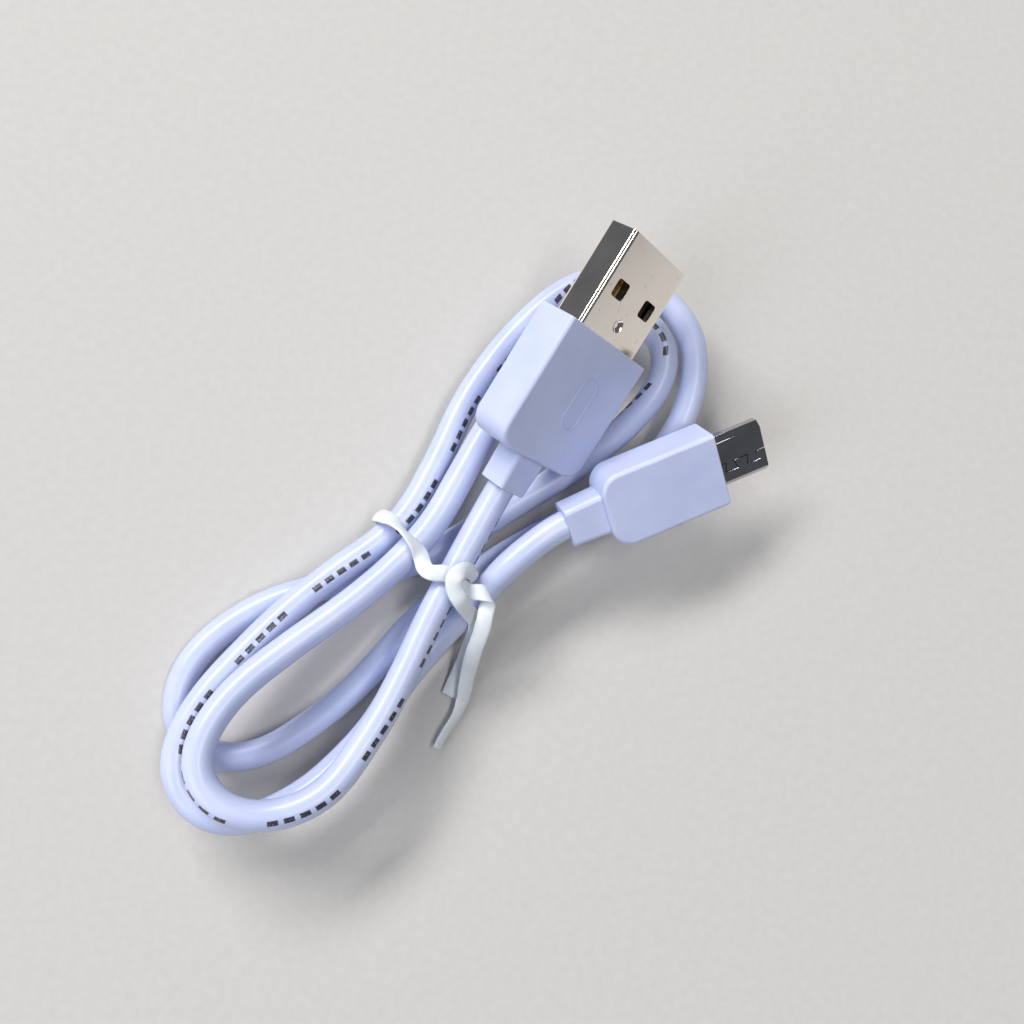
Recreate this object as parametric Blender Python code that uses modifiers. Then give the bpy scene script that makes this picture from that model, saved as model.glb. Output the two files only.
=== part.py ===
"""USB-A to Micro-USB-B charging lead, folded into a hank and tied with a twist tie.

Frame: metres, +X along the hank's long axis towards the plugs, +Z up, the origin at the bottom centre of the
bounding box. Each plug is built in a local frame whose +X is its plugging direction, +Y its width and +Z the
normal of its upper face, with x = 0 at the front face of its white grip.
"""
import math

import bmesh
import bpy
import numpy as np
from mathutils import Euler, Matrix, Vector

MM = 0.001

# Cable
JACKET_RADIUS = 0.0018
JACKET_WALL = 0.00048
INSULATION_RADIUS = 0.0005
INSULATION_WALL = 0.00014
CORE_RADIUS = 0.00025
CONDUCTOR_OFFSET = 0.00056
CABLE_STATIONS = 80
CABLE_BEND_SHARE = 0.5
STEPS_PER_STRETCH = 24

# Where each plug lies: origin, then roll about its axis, pitch of its nose upwards and yaw, in degrees
USB_A_ORIGIN = (0.0293, 0.0084, 0.0152)
USB_A_ROLL, USB_A_PITCH, USB_A_YAW = 47.8, 15.5, 13.4
MICRO_B_ORIGIN = (0.0302, -0.0130, 0.0100)
MICRO_B_ROLL, MICRO_B_PITCH, MICRO_B_YAW = 27.6, 2.3, -22.6

# USB-A plug
A_SHELL_WIDTH, A_SHELL_HEIGHT, A_SHELL_WALL = 0.0120, 0.0045, 0.0003
A_SHELL_FRONT, A_SHELL_REAR = 0.0120, -0.0050
A_SHELL_CORNER = 0.0006
A_WINDOW_X, A_WINDOW_Y = 0.00565, 0.0030
A_WINDOW_LENGTH, A_WINDOW_WIDTH, A_WINDOW_CORNER = 0.0022, 0.0023, 0.0004
A_DIMPLE_X, A_DIMPLE_RADIUS, A_DIMPLE_DEPTH = 0.0022, 0.0008, 0.00028
A_CONTACT_Y = (-0.0035, -0.0010, 0.0010, 0.0035)
A_CONTACT_WIDTH, A_CONTACT_THICKNESS = 0.0010, 0.00025
A_SEAM_GAP = 0.0001
A_TONGUE_TOP, A_TONGUE_BOTTOM, A_TONGUE_FRONT, A_TONGUE_REAR = -0.00005, -0.0018, 0.0112, -0.0046
A_BLOCK_TOP, A_BLOCK_FRONT = 0.00185, -0.0004
A_GROOVE_DEPTH, A_GROOVE_FRONT = 0.00036, 0.0105
A_CONTACT_FRONT, A_CONTACT_REAR = 0.0103, -0.0066
A_BODY_WIDTH, A_BODY_HEIGHT, A_BODY_REAR = 0.0162, 0.0060, -0.0166
A_NECK_WIDTH, A_NECK_HEIGHT, A_NECK_REAR = 0.0050, 0.0042, -0.0214

# Micro-B plug
B_SHELL_WIDTH, B_SHELL_HEIGHT, B_SHELL_WALL = 0.00685, 0.0018, 0.0002
B_SHELL_FRONT, B_SHELL_REAR = 0.0067, -0.0045
B_BEVEL = 0.0007
B_CONTACT_PITCH, B_CONTACT_WIDTH, B_CONTACT_THICKNESS = 0.00065, 0.00036, 0.00014
B_CONTACT_PIVOT_X, B_CONTACT_Z = -0.0006, -0.00010
B_CONTACT_FRONT, B_CONTACT_REAR = 0.0055, -0.0038
B_CONTACT_BEND_START, B_CONTACT_BEND_END, B_CONTACT_BEND_HEIGHT = 0.0044, 0.0054, 0.00022
B_PLATE_REAR, B_PLATE_FRONT, B_PLATE_HALF_WIDTH = -0.0040, 0.0058, 0.00185
B_PLATE_BOTTOM, B_PLATE_TOP = -0.00066, -0.00004
B_BLOCK_FRONT, B_BLOCK_HALF_WIDTH, B_BLOCK_TOP = -0.0002, 0.0018, 0.00064
B_GROOVE_FRONT, B_GROOVE_BOTTOM, B_GROOVE_TOP = 0.0052, -0.00054, 0.00014
B_LATCH_Y, B_LATCH_WIDTH, B_LATCH_THICKNESS = 0.00235, 0.0006, 0.00016
B_LATCH_PIVOT_X, B_LATCH_Z = -0.0030, -0.00048
B_LATCH_TAIL, B_LATCH_TIP = 0.0008, 0.0007
B_HOOK_X, B_HOOK_REAR, B_HOOK_FRONT, B_HOOK_DEPTH, B_HOOK_BEVEL = 0.0037, 0.0005, 0.0006, 0.0008, 0.00025
B_LATCH_WINDOW_HALF_LENGTH, B_LATCH_WINDOW_HALF_WIDTH = 0.0011, 0.00045
B_SQUARE_CORNER = 0.00015
B_BODY_WIDTH, B_BODY_HEIGHT, B_BODY_REAR = 0.0098, 0.0058, -0.0154
B_NECK_WIDTH, B_NECK_HEIGHT, B_NECK_REAR = 0.0052, 0.0042, -0.0203

SEAM_Y, SEAM_HALF_SWING, SEAM_SLANT, SEAM_GAP = -0.00085, 0.0006, 0.00016, 0.00004
SEAM_TURNS = (0.0011, 0.0026, 0.0041, 0.0056)

# Inside both grips
A_MOULD_REAR, A_MOULD_FRONT, A_MOULD_HALF_WIDTH, A_MOULD_HALF_HEIGHT = -0.0148, -0.0053, 0.0064, 0.00226
B_MOULD_REAR, B_MOULD_FRONT, B_MOULD_HALF_WIDTH, B_MOULD_HALF_HEIGHT = -0.0140, -0.0048, 0.0037, 0.00205
A_CAVITY_HALF_WIDTH, B_CAVITY_HALF_WIDTH = 0.0050, 0.0026
POCKET_FRONT = -0.0045
SOLDER_CAVITY_HALF_HEIGHT = 0.0009
CONDUCTOR_BORE_RADIUS = 0.00125
JACKET_END_INSIDE = 0.0125
CONDUCTOR_END_INSIDE = 0.0078
FIT_GAP = 0.00006
BORE_GAP = 0.00012
GRIP_CORNER, GRIP_EDGE = 0.0024, 0.0007

# Twist tie
TIE_WIDTH, TIE_THICKNESS, TIE_CORNER = 0.0020, 0.00060, 0.00018
TIE_WIRE_RADIUS, TIE_HOLE_RADIUS = 0.00011, 0.00015
TIE_STATIONS = 104
TIE_BEND_SHARE = 0.6

# The cable's route from the USB-A neck to the Micro-B neck: the centre line of the free part
ROUTE = [
    # down from the neck, over the others at the tie and out to the first loop
    (0.0024, 0.0017, 0.0090), (-0.0016, 0.0005, 0.0090), (-0.0081, -0.0015, 0.0092),
    (-0.0151, -0.0040, 0.0096), (-0.0221, -0.0060, 0.0103), (-0.0311, -0.0070, 0.0113),
    (-0.0371, -0.0040, 0.0118), (-0.0396, 0.0005, 0.0120), (-0.0388, 0.0048, 0.0118),
    (-0.0356, 0.0073, 0.0114), (-0.0301, 0.0084, 0.0108), (-0.0241, 0.0080, 0.0102),
    # back under the USB-A grip and round the inner arc at the plugs' end
    (-0.0141, 0.0065, 0.0094), (-0.0086, 0.0060, 0.0088), (-0.0036, 0.0060, 0.0082),
    (0.0009, 0.0065, 0.0078), (0.0064, 0.0080, 0.0076), (0.0134, 0.0100, 0.0070),
    (0.0219, 0.0118, 0.0066), (0.0299, 0.0123, 0.0064), (0.0356, 0.0106, 0.0066),
    (0.0379, 0.0065, 0.0068), (0.0376, 0.0022, 0.0068), (0.0352, -0.0005, 0.0064),
    (0.0314, -0.0018, 0.0056), (0.0254, -0.0020, 0.0038),
    # along the table, under the tie and round the lowest loop
    (0.0184, -0.0010, 0.0022), (0.0119, 0.0005, 0.0018), (0.0054, 0.0020, 0.0024),
    (-0.0016, 0.0038, 0.0030), (-0.0076, 0.0064, 0.0026), (-0.0141, 0.0103, 0.0018),
    (-0.0206, 0.0138, 0.0018), (-0.0276, 0.0155, 0.0018), (-0.0336, 0.0150, 0.0018),
    (-0.0379, 0.0120, 0.0018), (-0.0391, 0.0080, 0.0018), (-0.0374, 0.0040, 0.0018),
    (-0.0336, 0.0012, 0.0018), (-0.0281, -0.0003, 0.0018), (-0.0226, -0.0010, 0.0020),
    (-0.0166, -0.0010, 0.0024),
    # under the tie again, under the Micro-B grip and round the outer arc
    (-0.0101, -0.0007, 0.0028), (-0.0036, -0.0012, 0.0030), (0.0039, -0.0027, 0.0022),
    (0.0124, -0.0050, 0.0018), (0.0214, -0.0073, 0.0022), (0.0279, -0.0078, 0.0036),
    (0.0334, -0.0065, 0.0050), (0.0384, -0.0035, 0.0056), (0.0417, 0.0005, 0.0056),
    (0.0427, 0.0058, 0.0052), (0.0409, 0.0117, 0.0048), (0.0356, 0.0155, 0.0046),
    # back over the lowest loop, round the second loop and under the first one
    (0.0269, 0.0165, 0.0044), (0.0159, 0.0150, 0.0044), (0.0059, 0.0115, 0.0046),
    (-0.0006, 0.0097, 0.0048), (-0.0058, 0.0096, 0.0052), (-0.0111, 0.0104, 0.0058),
    (-0.0186, 0.0112, 0.0066), (-0.0266, 0.0112, 0.0070), (-0.0331, 0.0107, 0.0074),
    (-0.0378, 0.0094, 0.0076), (-0.0411, 0.0072, 0.0076), (-0.0426, 0.0042, 0.0074),
    (-0.0424, 0.0005, 0.0072), (-0.0401, -0.0027, 0.0070), (-0.0361, -0.0048, 0.0068),
    (-0.0311, -0.0060, 0.0064),
    # up beside the first strand to the Micro-B neck
    (-0.0226, -0.0060, 0.0056), (-0.0166, -0.0048, 0.0051), (-0.0101, -0.0042, 0.0051),
    (-0.0046, -0.0040, 0.0060), (0.0004, -0.0039, 0.0076), (0.0049, -0.0040, 0.0087),
]

# The twist tie's centre line from its long tail to its short one, and the way its flat side faces
TIE_ROUTE = [
    # long tail, rising to the knot
    ((-0.0189, -0.0139, 0.0010), (-0.2, 0.9, -0.6)), ((-0.0169, -0.0133, 0.0010), (-0.2, 0.9, -0.6)),
    ((-0.0144, -0.0128, 0.0011), (-0.15, 0.8, -0.7)), ((-0.0122, -0.0118, 0.0015), (-0.1, 0.6, -0.9)),
    ((-0.0103, -0.0104, 0.0028), (-0.1, 0.3, -1)), ((-0.0086, -0.0092, 0.0047), (0, 0, -1)),
    ((-0.0071, -0.0082, 0.0070), (0.15, -0.15, -1)), ((-0.0055, -0.0073, 0.0091), (0.2, -0.2, -1)),
    ((-0.0040, -0.0064, 0.0103), (0.1, -0.1, -1)), ((-0.0030, -0.0057, 0.0105), (0.1, -0.1, -1)),
    # folded back on itself
    ((-0.0021, -0.0052, 0.0105), (0.6, -0.2, -0.8)), ((-0.0016, -0.0047, 0.0109), (0.9, -0.3, 0.2)),
    ((-0.0017, -0.0041, 0.0113), (0.6, -0.2, 0.8)), ((-0.0020, -0.0035, 0.0113), (0, 0, 1)),
    ((-0.0027, -0.0028, 0.0110), (0, 0, 1)), ((-0.0030, -0.0016, 0.0109), (0, 0, 1)),
    # over the strands to the far side
    ((-0.0031, -0.0002, 0.0113), (0, 0, 1)), ((-0.0033, 0.0009, 0.0114), (0, 0, 1)),
    ((-0.0040, 0.0017, 0.0114), (0, 0, 1)), ((-0.0045, 0.0024, 0.0113), (0, 0.2, 1)),
    ((-0.0045, 0.0033, 0.0110), (0, 0.1, 1)), ((-0.0041, 0.0040, 0.0108), (0.1, 0, 1)),
    ((-0.0037, 0.0049, 0.0108), (0.5, 0.2, 1)), ((-0.0034, 0.0063, 0.0110), (0.8, 0.2, 0.6)),
    ((-0.0033, 0.0078, 0.0106), (1, 0.2, 0.3)), ((-0.0032, 0.0093, 0.0097), (0.8, 0.5, 0.4)),
    ((-0.0033, 0.0106, 0.0082), (0.3, 0.9, 0.5)), ((-0.0035, 0.0115, 0.0066), (0, 1, 0.4)),
    ((-0.0037, 0.0120, 0.0049), (0, 1, 0)),
    # down and back under all the strands
    ((-0.0035, 0.0121, 0.0022), (0, 0.8, -0.6)), ((-0.0033, 0.0105, 0.0006), (0, 0.2, -1)),
    ((-0.0030, 0.0070, 0.0004), (0, 0, -1)), ((-0.0028, 0.0026, 0.0004), (0, 0, -1)),
    ((-0.0026, -0.0018, 0.0004), (0, 0, -1)), ((-0.0021, -0.0042, 0.0007), (0, -0.3, -1)),
    ((-0.0011, -0.0049, 0.0020), (0, -1, -0.2)), ((-0.0005, -0.0042, 0.0040), (0, -1, 0.5)),
    # up between the two strands that run to the plugs and round the knot
    ((-0.0004, -0.0027, 0.0050), (0, -0.75, 0.65)), ((-0.0008, -0.0016, 0.0068), (0, -0.9, 0.4)),
    ((-0.0012, -0.0018, 0.0081), (0, -1, 0)), ((-0.0012, -0.0019, 0.0094), (0.1, -1, 0)),
    ((-0.0010, -0.0013, 0.0107), (0.5, -0.8, 0.2)), ((-0.0013, -0.0006, 0.0119), (0.5, -0.5, 0.6)),
    ((-0.0019, -0.0002, 0.0127), (0.1, 0.1, 1)), ((-0.0028, -0.0001, 0.0131), (0, 0.1, 1)),
    ((-0.0035, -0.0005, 0.0131), (0, 0, 1)), ((-0.0041, -0.0015, 0.0127), (0, -0.1, 1)),
    ((-0.0044, -0.0026, 0.0123), (0, -0.2, 1)), ((-0.0045, -0.0038, 0.0109), (0, -0.6, 1)),
    ((-0.0045, -0.0047, 0.0091), (0, -0.8, 0.8)),
    # sharply down to the short tail
    ((-0.0045, -0.0056, 0.0077), (0.1, -0.5, 1)), ((-0.0051, -0.0064, 0.0068), (0.1, -0.3, 1)),
    ((-0.0061, -0.0071, 0.0054), (0, -0.1, 1)), ((-0.0078, -0.0080, 0.0036), (0, 0, 1)),
    ((-0.0106, -0.0093, 0.0013), (0, 0, 1)), ((-0.0132, -0.0103, 0.0005), (0, 0, 1)),
]


# ---------------------------------------------------------------- scene, materials and helpers

for old in list(bpy.data.objects):
    bpy.data.objects.remove(old, do_unlink=True)

parts = bpy.data.collections.new("charging_lead")
cutters = bpy.data.collections.new("cutters")
bpy.context.scene.collection.children.link(parts)
bpy.context.scene.collection.children.link(cutters)


def material(name, colour, roughness, metallic=0.0):
    made = bpy.data.materials.new(name)
    made.use_nodes = True
    shader = made.node_tree.nodes["Principled BSDF"]
    shader.inputs["Base Color"].default_value = (*colour, 1.0)
    shader.inputs["Roughness"].default_value = roughness
    shader.inputs["Metallic"].default_value = metallic
    return made


WHITE_PVC = material("white_pvc", (0.78, 0.79, 0.90), 0.35)
TIE_PLASTIC = material("tie_plastic", (0.86, 0.88, 0.90), 0.40)
STEEL = material("plated_steel", (0.72, 0.70, 0.67), 0.22, 1.0)
GOLD = material("gold_plate", (0.90, 0.68, 0.28), 0.25, 1.0)
COPPER = material("copper", (0.80, 0.45, 0.28), 0.35, 1.0)
IRON = material("soft_iron", (0.45, 0.44, 0.43), 0.45, 1.0)
BLACK_PLASTIC = material("black_plastic", (0.02, 0.02, 0.02), 0.45)
RED_PLASTIC = material("red_plastic", (0.60, 0.03, 0.02), 0.40)
NATURAL_PE = material("natural_polyethylene", (0.80, 0.78, 0.72), 0.50)


def add_object(name, data, where=parts, parent=None, finish=None):
    made = bpy.data.objects.new(name, data)
    where.objects.link(made)
    made.parent = parent
    if finish:
        data.materials.append(finish)
    return made


def plug_frame(name, origin, roll, pitch, yaw):
    frame = add_object(name, None)
    frame.location = origin
    frame.rotation_euler = Euler([math.radians(angle) for angle in (roll, -pitch, yaw)])
    bpy.context.view_layer.update()
    return frame


def smooth_shade(mesh, angle=35.0):
    mesh.shade_smooth()
    mesh.set_sharp_from_angle(angle=math.radians(angle))


def box_mesh(name, low, high, rounds=()):
    """A box between two corners. Each round is (test of an edge's direction and middle, width, segments)."""
    bm = bmesh.new()
    bmesh.ops.create_cube(bm, size=1.0)
    low, high = Vector(low), Vector(high)
    for vert in bm.verts:
        vert.co = (low + high) / 2 + Vector(a * b for a, b in zip(vert.co, high - low))
    for wanted, width, segments in rounds:
        picked = []
        for edge in bm.edges:
            along = (edge.verts[1].co - edge.verts[0].co).normalized()
            middle = (edge.verts[0].co + edge.verts[1].co) / 2
            if len(edge.link_faces) == 2 and edge.calc_face_angle(0.0) > 0.7 and wanted(along, middle):
                picked.append(edge)
        bmesh.ops.bevel(bm, geom=picked, offset=width, segments=segments, profile=0.5, affect="EDGES",
                        clamp_overlap=True)
    mesh = bpy.data.meshes.new(name)
    bm.to_mesh(mesh)
    bm.free()
    return mesh


def add_box(name, low, high, frame, finish=None, rounds=(), where=parts):
    made = add_object(name, box_mesh(name, low, high, rounds), where, frame, finish)
    if rounds and where is parts:
        smooth_shade(made.data)
    return made


def boolean(target, other, operation="DIFFERENCE"):
    other.hide_render = True
    other.display_type = "WIRE"
    step = target.modifiers.new(operation.lower(), "BOOLEAN")
    step.operation = operation
    step.object = other
    step.solver = "EXACT"


def cut_box(target, low, high, frame, rounds=()):
    boolean(target, add_box(target.name + "_cutter", low, high, frame, rounds=rounds, where=cutters))


def join_box(target, low, high, frame, rounds=()):
    boolean(target, add_box(target.name + "_block", low, high, frame, rounds=rounds, where=cutters), "UNION")


def cut_bore(target, x_low, x_high, radius, frame, sides=16):
    """A round bore along the plug's axis."""
    mesh = bpy.data.meshes.new(target.name + "_bore")
    bm = bmesh.new()
    bmesh.ops.create_cone(bm, cap_ends=True, segments=sides, radius1=radius, radius2=radius,
                          depth=x_high - x_low)
    bmesh.ops.rotate(bm, verts=bm.verts, matrix=Matrix.Rotation(math.radians(90), 3, "Y"))
    bmesh.ops.translate(bm, verts=bm.verts, vec=((x_low + x_high) / 2, 0, 0))
    bm.to_mesh(mesh)
    bm.free()
    boolean(target, add_object(mesh.name, mesh, cutters, frame))


def along_x(along, middle):
    return abs(along.x) > 0.99


def upright(along, middle):
    return abs(along.z) > 0.99


MOULD_ROUNDS = [(along_x, 0.0004, 2)]


def catmull_rom(rows):
    """A centripetal Catmull-Rom curve through rows that start with a place; their other numbers go along."""
    rows = np.array(rows, float)
    rows = np.vstack([2 * rows[0] - rows[1], rows, 2 * rows[-1] - rows[-2]])
    dense = []
    for p0, p1, p2, p3 in zip(rows, rows[1:], rows[2:], rows[3:]):
        t1 = np.linalg.norm(p1[:3] - p0[:3]) ** 0.5
        t2 = t1 + np.linalg.norm(p2[:3] - p1[:3]) ** 0.5
        t3 = t2 + np.linalg.norm(p3[:3] - p2[:3]) ** 0.5
        for t in np.linspace(t1, t2, STEPS_PER_STRETCH, endpoint=False):
            a1 = p0 + (p1 - p0) * t / t1
            a2 = p1 + (p2 - p1) * (t - t1) / (t2 - t1)
            a3 = p2 + (p3 - p2) * (t - t2) / (t3 - t2)
            b1 = a1 + (a2 - a1) * t / t2
            b2 = a2 + (a3 - a2) * (t - t1) / (t3 - t1)
            dense.append(b1 + (b2 - b1) * (t - t1) / (t2 - t1))
    dense.append(rows[-2])
    return np.array(dense)


def stations(rows, count, bend_share):
    """Some of a curve's rows, ends included: more where it bends or twists, as bend_share goes to 1."""
    steps = np.diff(rows[:, :3], axis=0)
    lengths = np.linalg.norm(steps, axis=1)
    directions = steps / lengths[:, None]
    turns = np.arccos(np.clip(np.sum(directions[1:] * directions[:-1], axis=1), -1, 1))
    turns = np.concatenate([[0.0], turns]) + np.linalg.norm(np.diff(rows[:, 3:], axis=0), axis=1)
    share = (1 - bend_share) * lengths / lengths.sum() + bend_share * turns / turns.sum()
    marks = np.concatenate([[0.0], np.cumsum(share)])
    wanted = np.linspace(0.0, marks[-1], count)
    return np.column_stack([np.interp(wanted, marks, rows[:, i]) for i in range(rows.shape[1])])


def vectors(rows):
    return [Vector(row) for row in rows]


def tangents(path):
    ahead = path[1:] + [2 * path[-1] - path[-2]]
    behind = [2 * path[0] - path[1]] + path[:-1]
    return [(a - b).normalized() for a, b in zip(ahead, behind)]


def tube(name, path, radius, resolution, finish, wall=None):
    """A round tube on a chain of points: a curve with a bevel depth, hollow where a wall is given."""
    curve = bpy.data.curves.new(name, "CURVE")
    curve.dimensions = "3D"
    curve.bevel_depth = radius
    curve.bevel_resolution = resolution
    curve.use_fill_caps = wall is None
    spline = curve.splines.new("POLY")
    spline.points.add(len(path) - 1)
    for point, place in zip(spline.points, path):
        point.co = (*place, 1.0)
    made = add_object(name, curve, finish=finish)
    if wall:
        solid = made.modifiers.new("wall", "SOLIDIFY")
        solid.thickness = wall
        solid.offset = -1.0
        solid.use_even_offset = True
    return made


# ---------------------------------------------------------------- the cable

usb_a = plug_frame("usb_a_frame", USB_A_ORIGIN, USB_A_ROLL, USB_A_PITCH, USB_A_YAW)
micro_b = plug_frame("micro_b_frame", MICRO_B_ORIGIN, MICRO_B_ROLL, MICRO_B_PITCH, MICRO_B_YAW)


def on_axis(frame, x):
    return frame.matrix_world @ Vector((x, 0, 0))


NECK_STRAIGHT = 0.0008
free_curve = catmull_rom([tuple(on_axis(usb_a, A_NECK_REAR - NECK_STRAIGHT))] + ROUTE
                         + [tuple(on_axis(micro_b, B_NECK_REAR - NECK_STRAIGHT))])
free_part = vectors(stations(free_curve, CABLE_STATIONS, CABLE_BEND_SHARE))
jacket_path = [on_axis(usb_a, -JACKET_END_INSIDE)] + free_part + [on_axis(micro_b, -JACKET_END_INSIDE)]
tube("cable_jacket", jacket_path, JACKET_RADIUS, 2, WHITE_PVC, JACKET_WALL)

conductor_ends = [on_axis(frame, -CONDUCTOR_END_INSIDE) for frame in (usb_a, micro_b)]
conductor_path = [conductor_ends[0]] + free_part + [conductor_ends[1]]


def beside(path, offset):
    """A path at a fixed distance beside another, carried along it without twisting."""
    directions = tangents(path)
    side = (usb_a.matrix_world.to_3x3() @ Vector((0, 1, 0))).normalized()
    result = []
    for place, along in zip(path, directions):
        side = (side - along * side.dot(along)).normalized()
        result.append(place + side * offset)
    return result


for colour, side, plastic in (("red", 1, RED_PLASTIC), ("black", -1, BLACK_PLASTIC)):
    path = beside(conductor_path, side * CONDUCTOR_OFFSET)
    tube(f"wire_{colour}_insulation", path, INSULATION_RADIUS, 1, plastic, INSULATION_WALL)
    tube(f"wire_{colour}_core", path, CORE_RADIUS, 0, COPPER)


# ---------------------------------------------------------------- the USB-A plug

def open_tube_mesh(mesh):
    """Takes the two end faces off a block that lies along X."""
    bm = bmesh.new()
    bm.from_mesh(mesh)
    ends = [face for face in bm.faces if abs(face.normal.x) > 0.9]
    bmesh.ops.delete(bm, geom=ends, context="FACES_ONLY")
    bm.to_mesh(mesh)
    bm.free()


def shell_wall(made, wall):
    solid = made.modifiers.new("wall", "SOLIDIFY")
    solid.thickness = wall
    solid.offset = -1.0
    solid.use_even_offset = True


half_w, half_h = A_SHELL_WIDTH / 2, A_SHELL_HEIGHT / 2
a_shell = add_box("usb_a_shell", (A_SHELL_REAR, -half_w, -half_h), (A_SHELL_FRONT, half_w, half_h),
                  usb_a, STEEL, [(along_x, A_SHELL_CORNER, 3)])
open_tube_mesh(a_shell.data)
smooth_shade(a_shell.data)
shell_wall(a_shell, A_SHELL_WALL)
for side in (-1, 1):
    centre = side * A_WINDOW_Y
    cut_box(a_shell, (A_WINDOW_X - A_WINDOW_LENGTH / 2, centre - A_WINDOW_WIDTH / 2, -half_h - MM),
            (A_WINDOW_X + A_WINDOW_LENGTH / 2, centre + A_WINDOW_WIDTH / 2, half_h + MM), usb_a,
            [(upright, A_WINDOW_CORNER, 2)])

# A punched dimple in the upper face: a boss inside, hollowed from outside by a ball
ball_radius = (A_DIMPLE_RADIUS ** 2 + A_DIMPLE_DEPTH ** 2) / (2 * A_DIMPLE_DEPTH)
boss_mesh = bpy.data.meshes.new("usb_a_dimple_boss")
bm = bmesh.new()
bmesh.ops.create_cone(bm, cap_ends=True, segments=12, radius1=A_DIMPLE_RADIUS, radius2=A_DIMPLE_RADIUS,
                      depth=A_SHELL_WALL)
bmesh.ops.translate(bm, verts=bm.verts, vec=(A_DIMPLE_X, 0, half_h - A_DIMPLE_DEPTH - A_SHELL_WALL / 2))
bm.to_mesh(boss_mesh)
bm.free()
boolean(a_shell, add_object("usb_a_dimple_boss", boss_mesh, cutters, usb_a), "UNION")
ball_mesh = bpy.data.meshes.new("usb_a_dimple_ball")
bm = bmesh.new()
bmesh.ops.create_uvsphere(bm, u_segments=16, v_segments=16, radius=ball_radius)
bmesh.ops.translate(bm, verts=bm.verts, vec=(A_DIMPLE_X, 0, half_h - A_DIMPLE_DEPTH + ball_radius))
bm.to_mesh(ball_mesh)
bm.free()
boolean(a_shell, add_object("usb_a_dimple_ball", ball_mesh, cutters, usb_a))

# The fold's seam runs down the middle of the lower face
cut_box(a_shell, (A_SHELL_REAR - MM, -A_SEAM_GAP / 2, -half_h - MM),
        (A_SHELL_FRONT + MM, A_SEAM_GAP / 2, -half_h + 2 * A_SHELL_WALL), usb_a)

# Tongue: a plate under the contacts and a block that closes the shell behind them
tongue_half_width = half_w - A_SHELL_WALL - 5 * FIT_GAP
tongue = add_box("usb_a_tongue", (A_TONGUE_REAR, -tongue_half_width, A_TONGUE_BOTTOM),
                 (A_TONGUE_FRONT, tongue_half_width, A_TONGUE_TOP), usb_a, BLACK_PLASTIC)
block_half_width = tongue_half_width - 0.2 * MM
join_box(tongue, (A_TONGUE_REAR, -block_half_width, A_TONGUE_BOTTOM / 2),
         (A_BLOCK_FRONT, block_half_width, A_BLOCK_TOP), usb_a)
for number, y in enumerate(A_CONTACT_Y, 1):
    groove_half_width = A_CONTACT_WIDTH / 2 + FIT_GAP
    cut_box(tongue, (A_TONGUE_REAR - MM, y - groove_half_width, A_TONGUE_TOP - A_GROOVE_DEPTH),
            (A_GROOVE_FRONT, y + groove_half_width, A_TONGUE_TOP + FIT_GAP), usb_a)
    contact_top = A_TONGUE_TOP - FIT_GAP
    contact_bottom = contact_top - A_CONTACT_THICKNESS
    add_box(f"usb_a_contact_{number}", (A_CONTACT_REAR, y - A_CONTACT_WIDTH / 2, contact_bottom),
            (A_CONTACT_FRONT, y + A_CONTACT_WIDTH / 2, contact_top), usb_a, GOLD)


def inner_mould(name, frame, rear, front, half_width, half_height, cavity_half_width):
    """The block behind the shell: a cavity in front for the solder joints, a stepped bore for the cable."""
    mould = add_box(name, (rear, -half_width, -half_height), (front, half_width, half_height),
                    frame, NATURAL_PE, MOULD_ROUNDS)
    cut_box(mould, (-CONDUCTOR_END_INSIDE - MM / 2, -cavity_half_width, -SOLDER_CAVITY_HALF_HEIGHT),
            (front + MM, cavity_half_width, SOLDER_CAVITY_HALF_HEIGHT), frame)
    cut_bore(mould, rear - MM, -JACKET_END_INSIDE + 2 * BORE_GAP, JACKET_RADIUS + BORE_GAP, frame)
    cut_bore(mould, rear - MM, -CONDUCTOR_END_INSIDE, CONDUCTOR_BORE_RADIUS, frame)


inner_mould("usb_a_premould", usb_a, A_MOULD_REAR, A_MOULD_FRONT, A_MOULD_HALF_WIDTH, A_MOULD_HALF_HEIGHT,
            A_CAVITY_HALF_WIDTH)


def grip(name, frame, body_size, neck_size, slot_size, slot_rounds, pocket_size):
    """The white grip and its neck. Every size is (rear x, half width, half height).

    The shell lies in a slot through the front, the inner mould in a pocket and the cable in a bore.
    """
    def rear_corner(along, middle):
        return abs(along.z) > 0.99 and middle.x < body_size[0] / 2

    def any_edge(along, middle):
        return True

    rear, half_width, half_height = body_size
    neck_rear, neck_half_width, neck_half_height = neck_size
    body = add_box(name, (rear, -half_width, -half_height), (0, half_width, half_height), frame, WHITE_PVC,
                   [(rear_corner, GRIP_CORNER, 4), (any_edge, GRIP_EDGE, 2)])
    neck_front = rear + GRIP_EDGE + MM / 2
    join_box(body, (neck_rear, -neck_half_width, -neck_half_height),
             (neck_front, neck_half_width, neck_half_height), frame, [(any_edge, GRIP_EDGE, 2)])
    openings = ((slot_size, MM, slot_rounds), (pocket_size, POCKET_FRONT, MOULD_ROUNDS))
    for (x, y, z), front, rounds in openings:
        cut_box(body, (x - FIT_GAP, -y - FIT_GAP, -z - FIT_GAP), (front, y + FIT_GAP, z + FIT_GAP),
                frame, rounds)
    cut_bore(body, neck_rear - MM, pocket_size[0] + MM, JACKET_RADIUS + BORE_GAP, frame)


grip("usb_a_overmould", usb_a, (A_BODY_REAR, A_BODY_WIDTH / 2, A_BODY_HEIGHT / 2),
     (A_NECK_REAR, A_NECK_WIDTH / 2, A_NECK_HEIGHT / 2), (POCKET_FRONT - MM, half_w, half_h),
     [(along_x, A_SHELL_CORNER, 3)], (A_MOULD_REAR, A_MOULD_HALF_WIDTH, A_MOULD_HALF_HEIGHT))


# ---------------------------------------------------------------- the Micro-B plug

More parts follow.
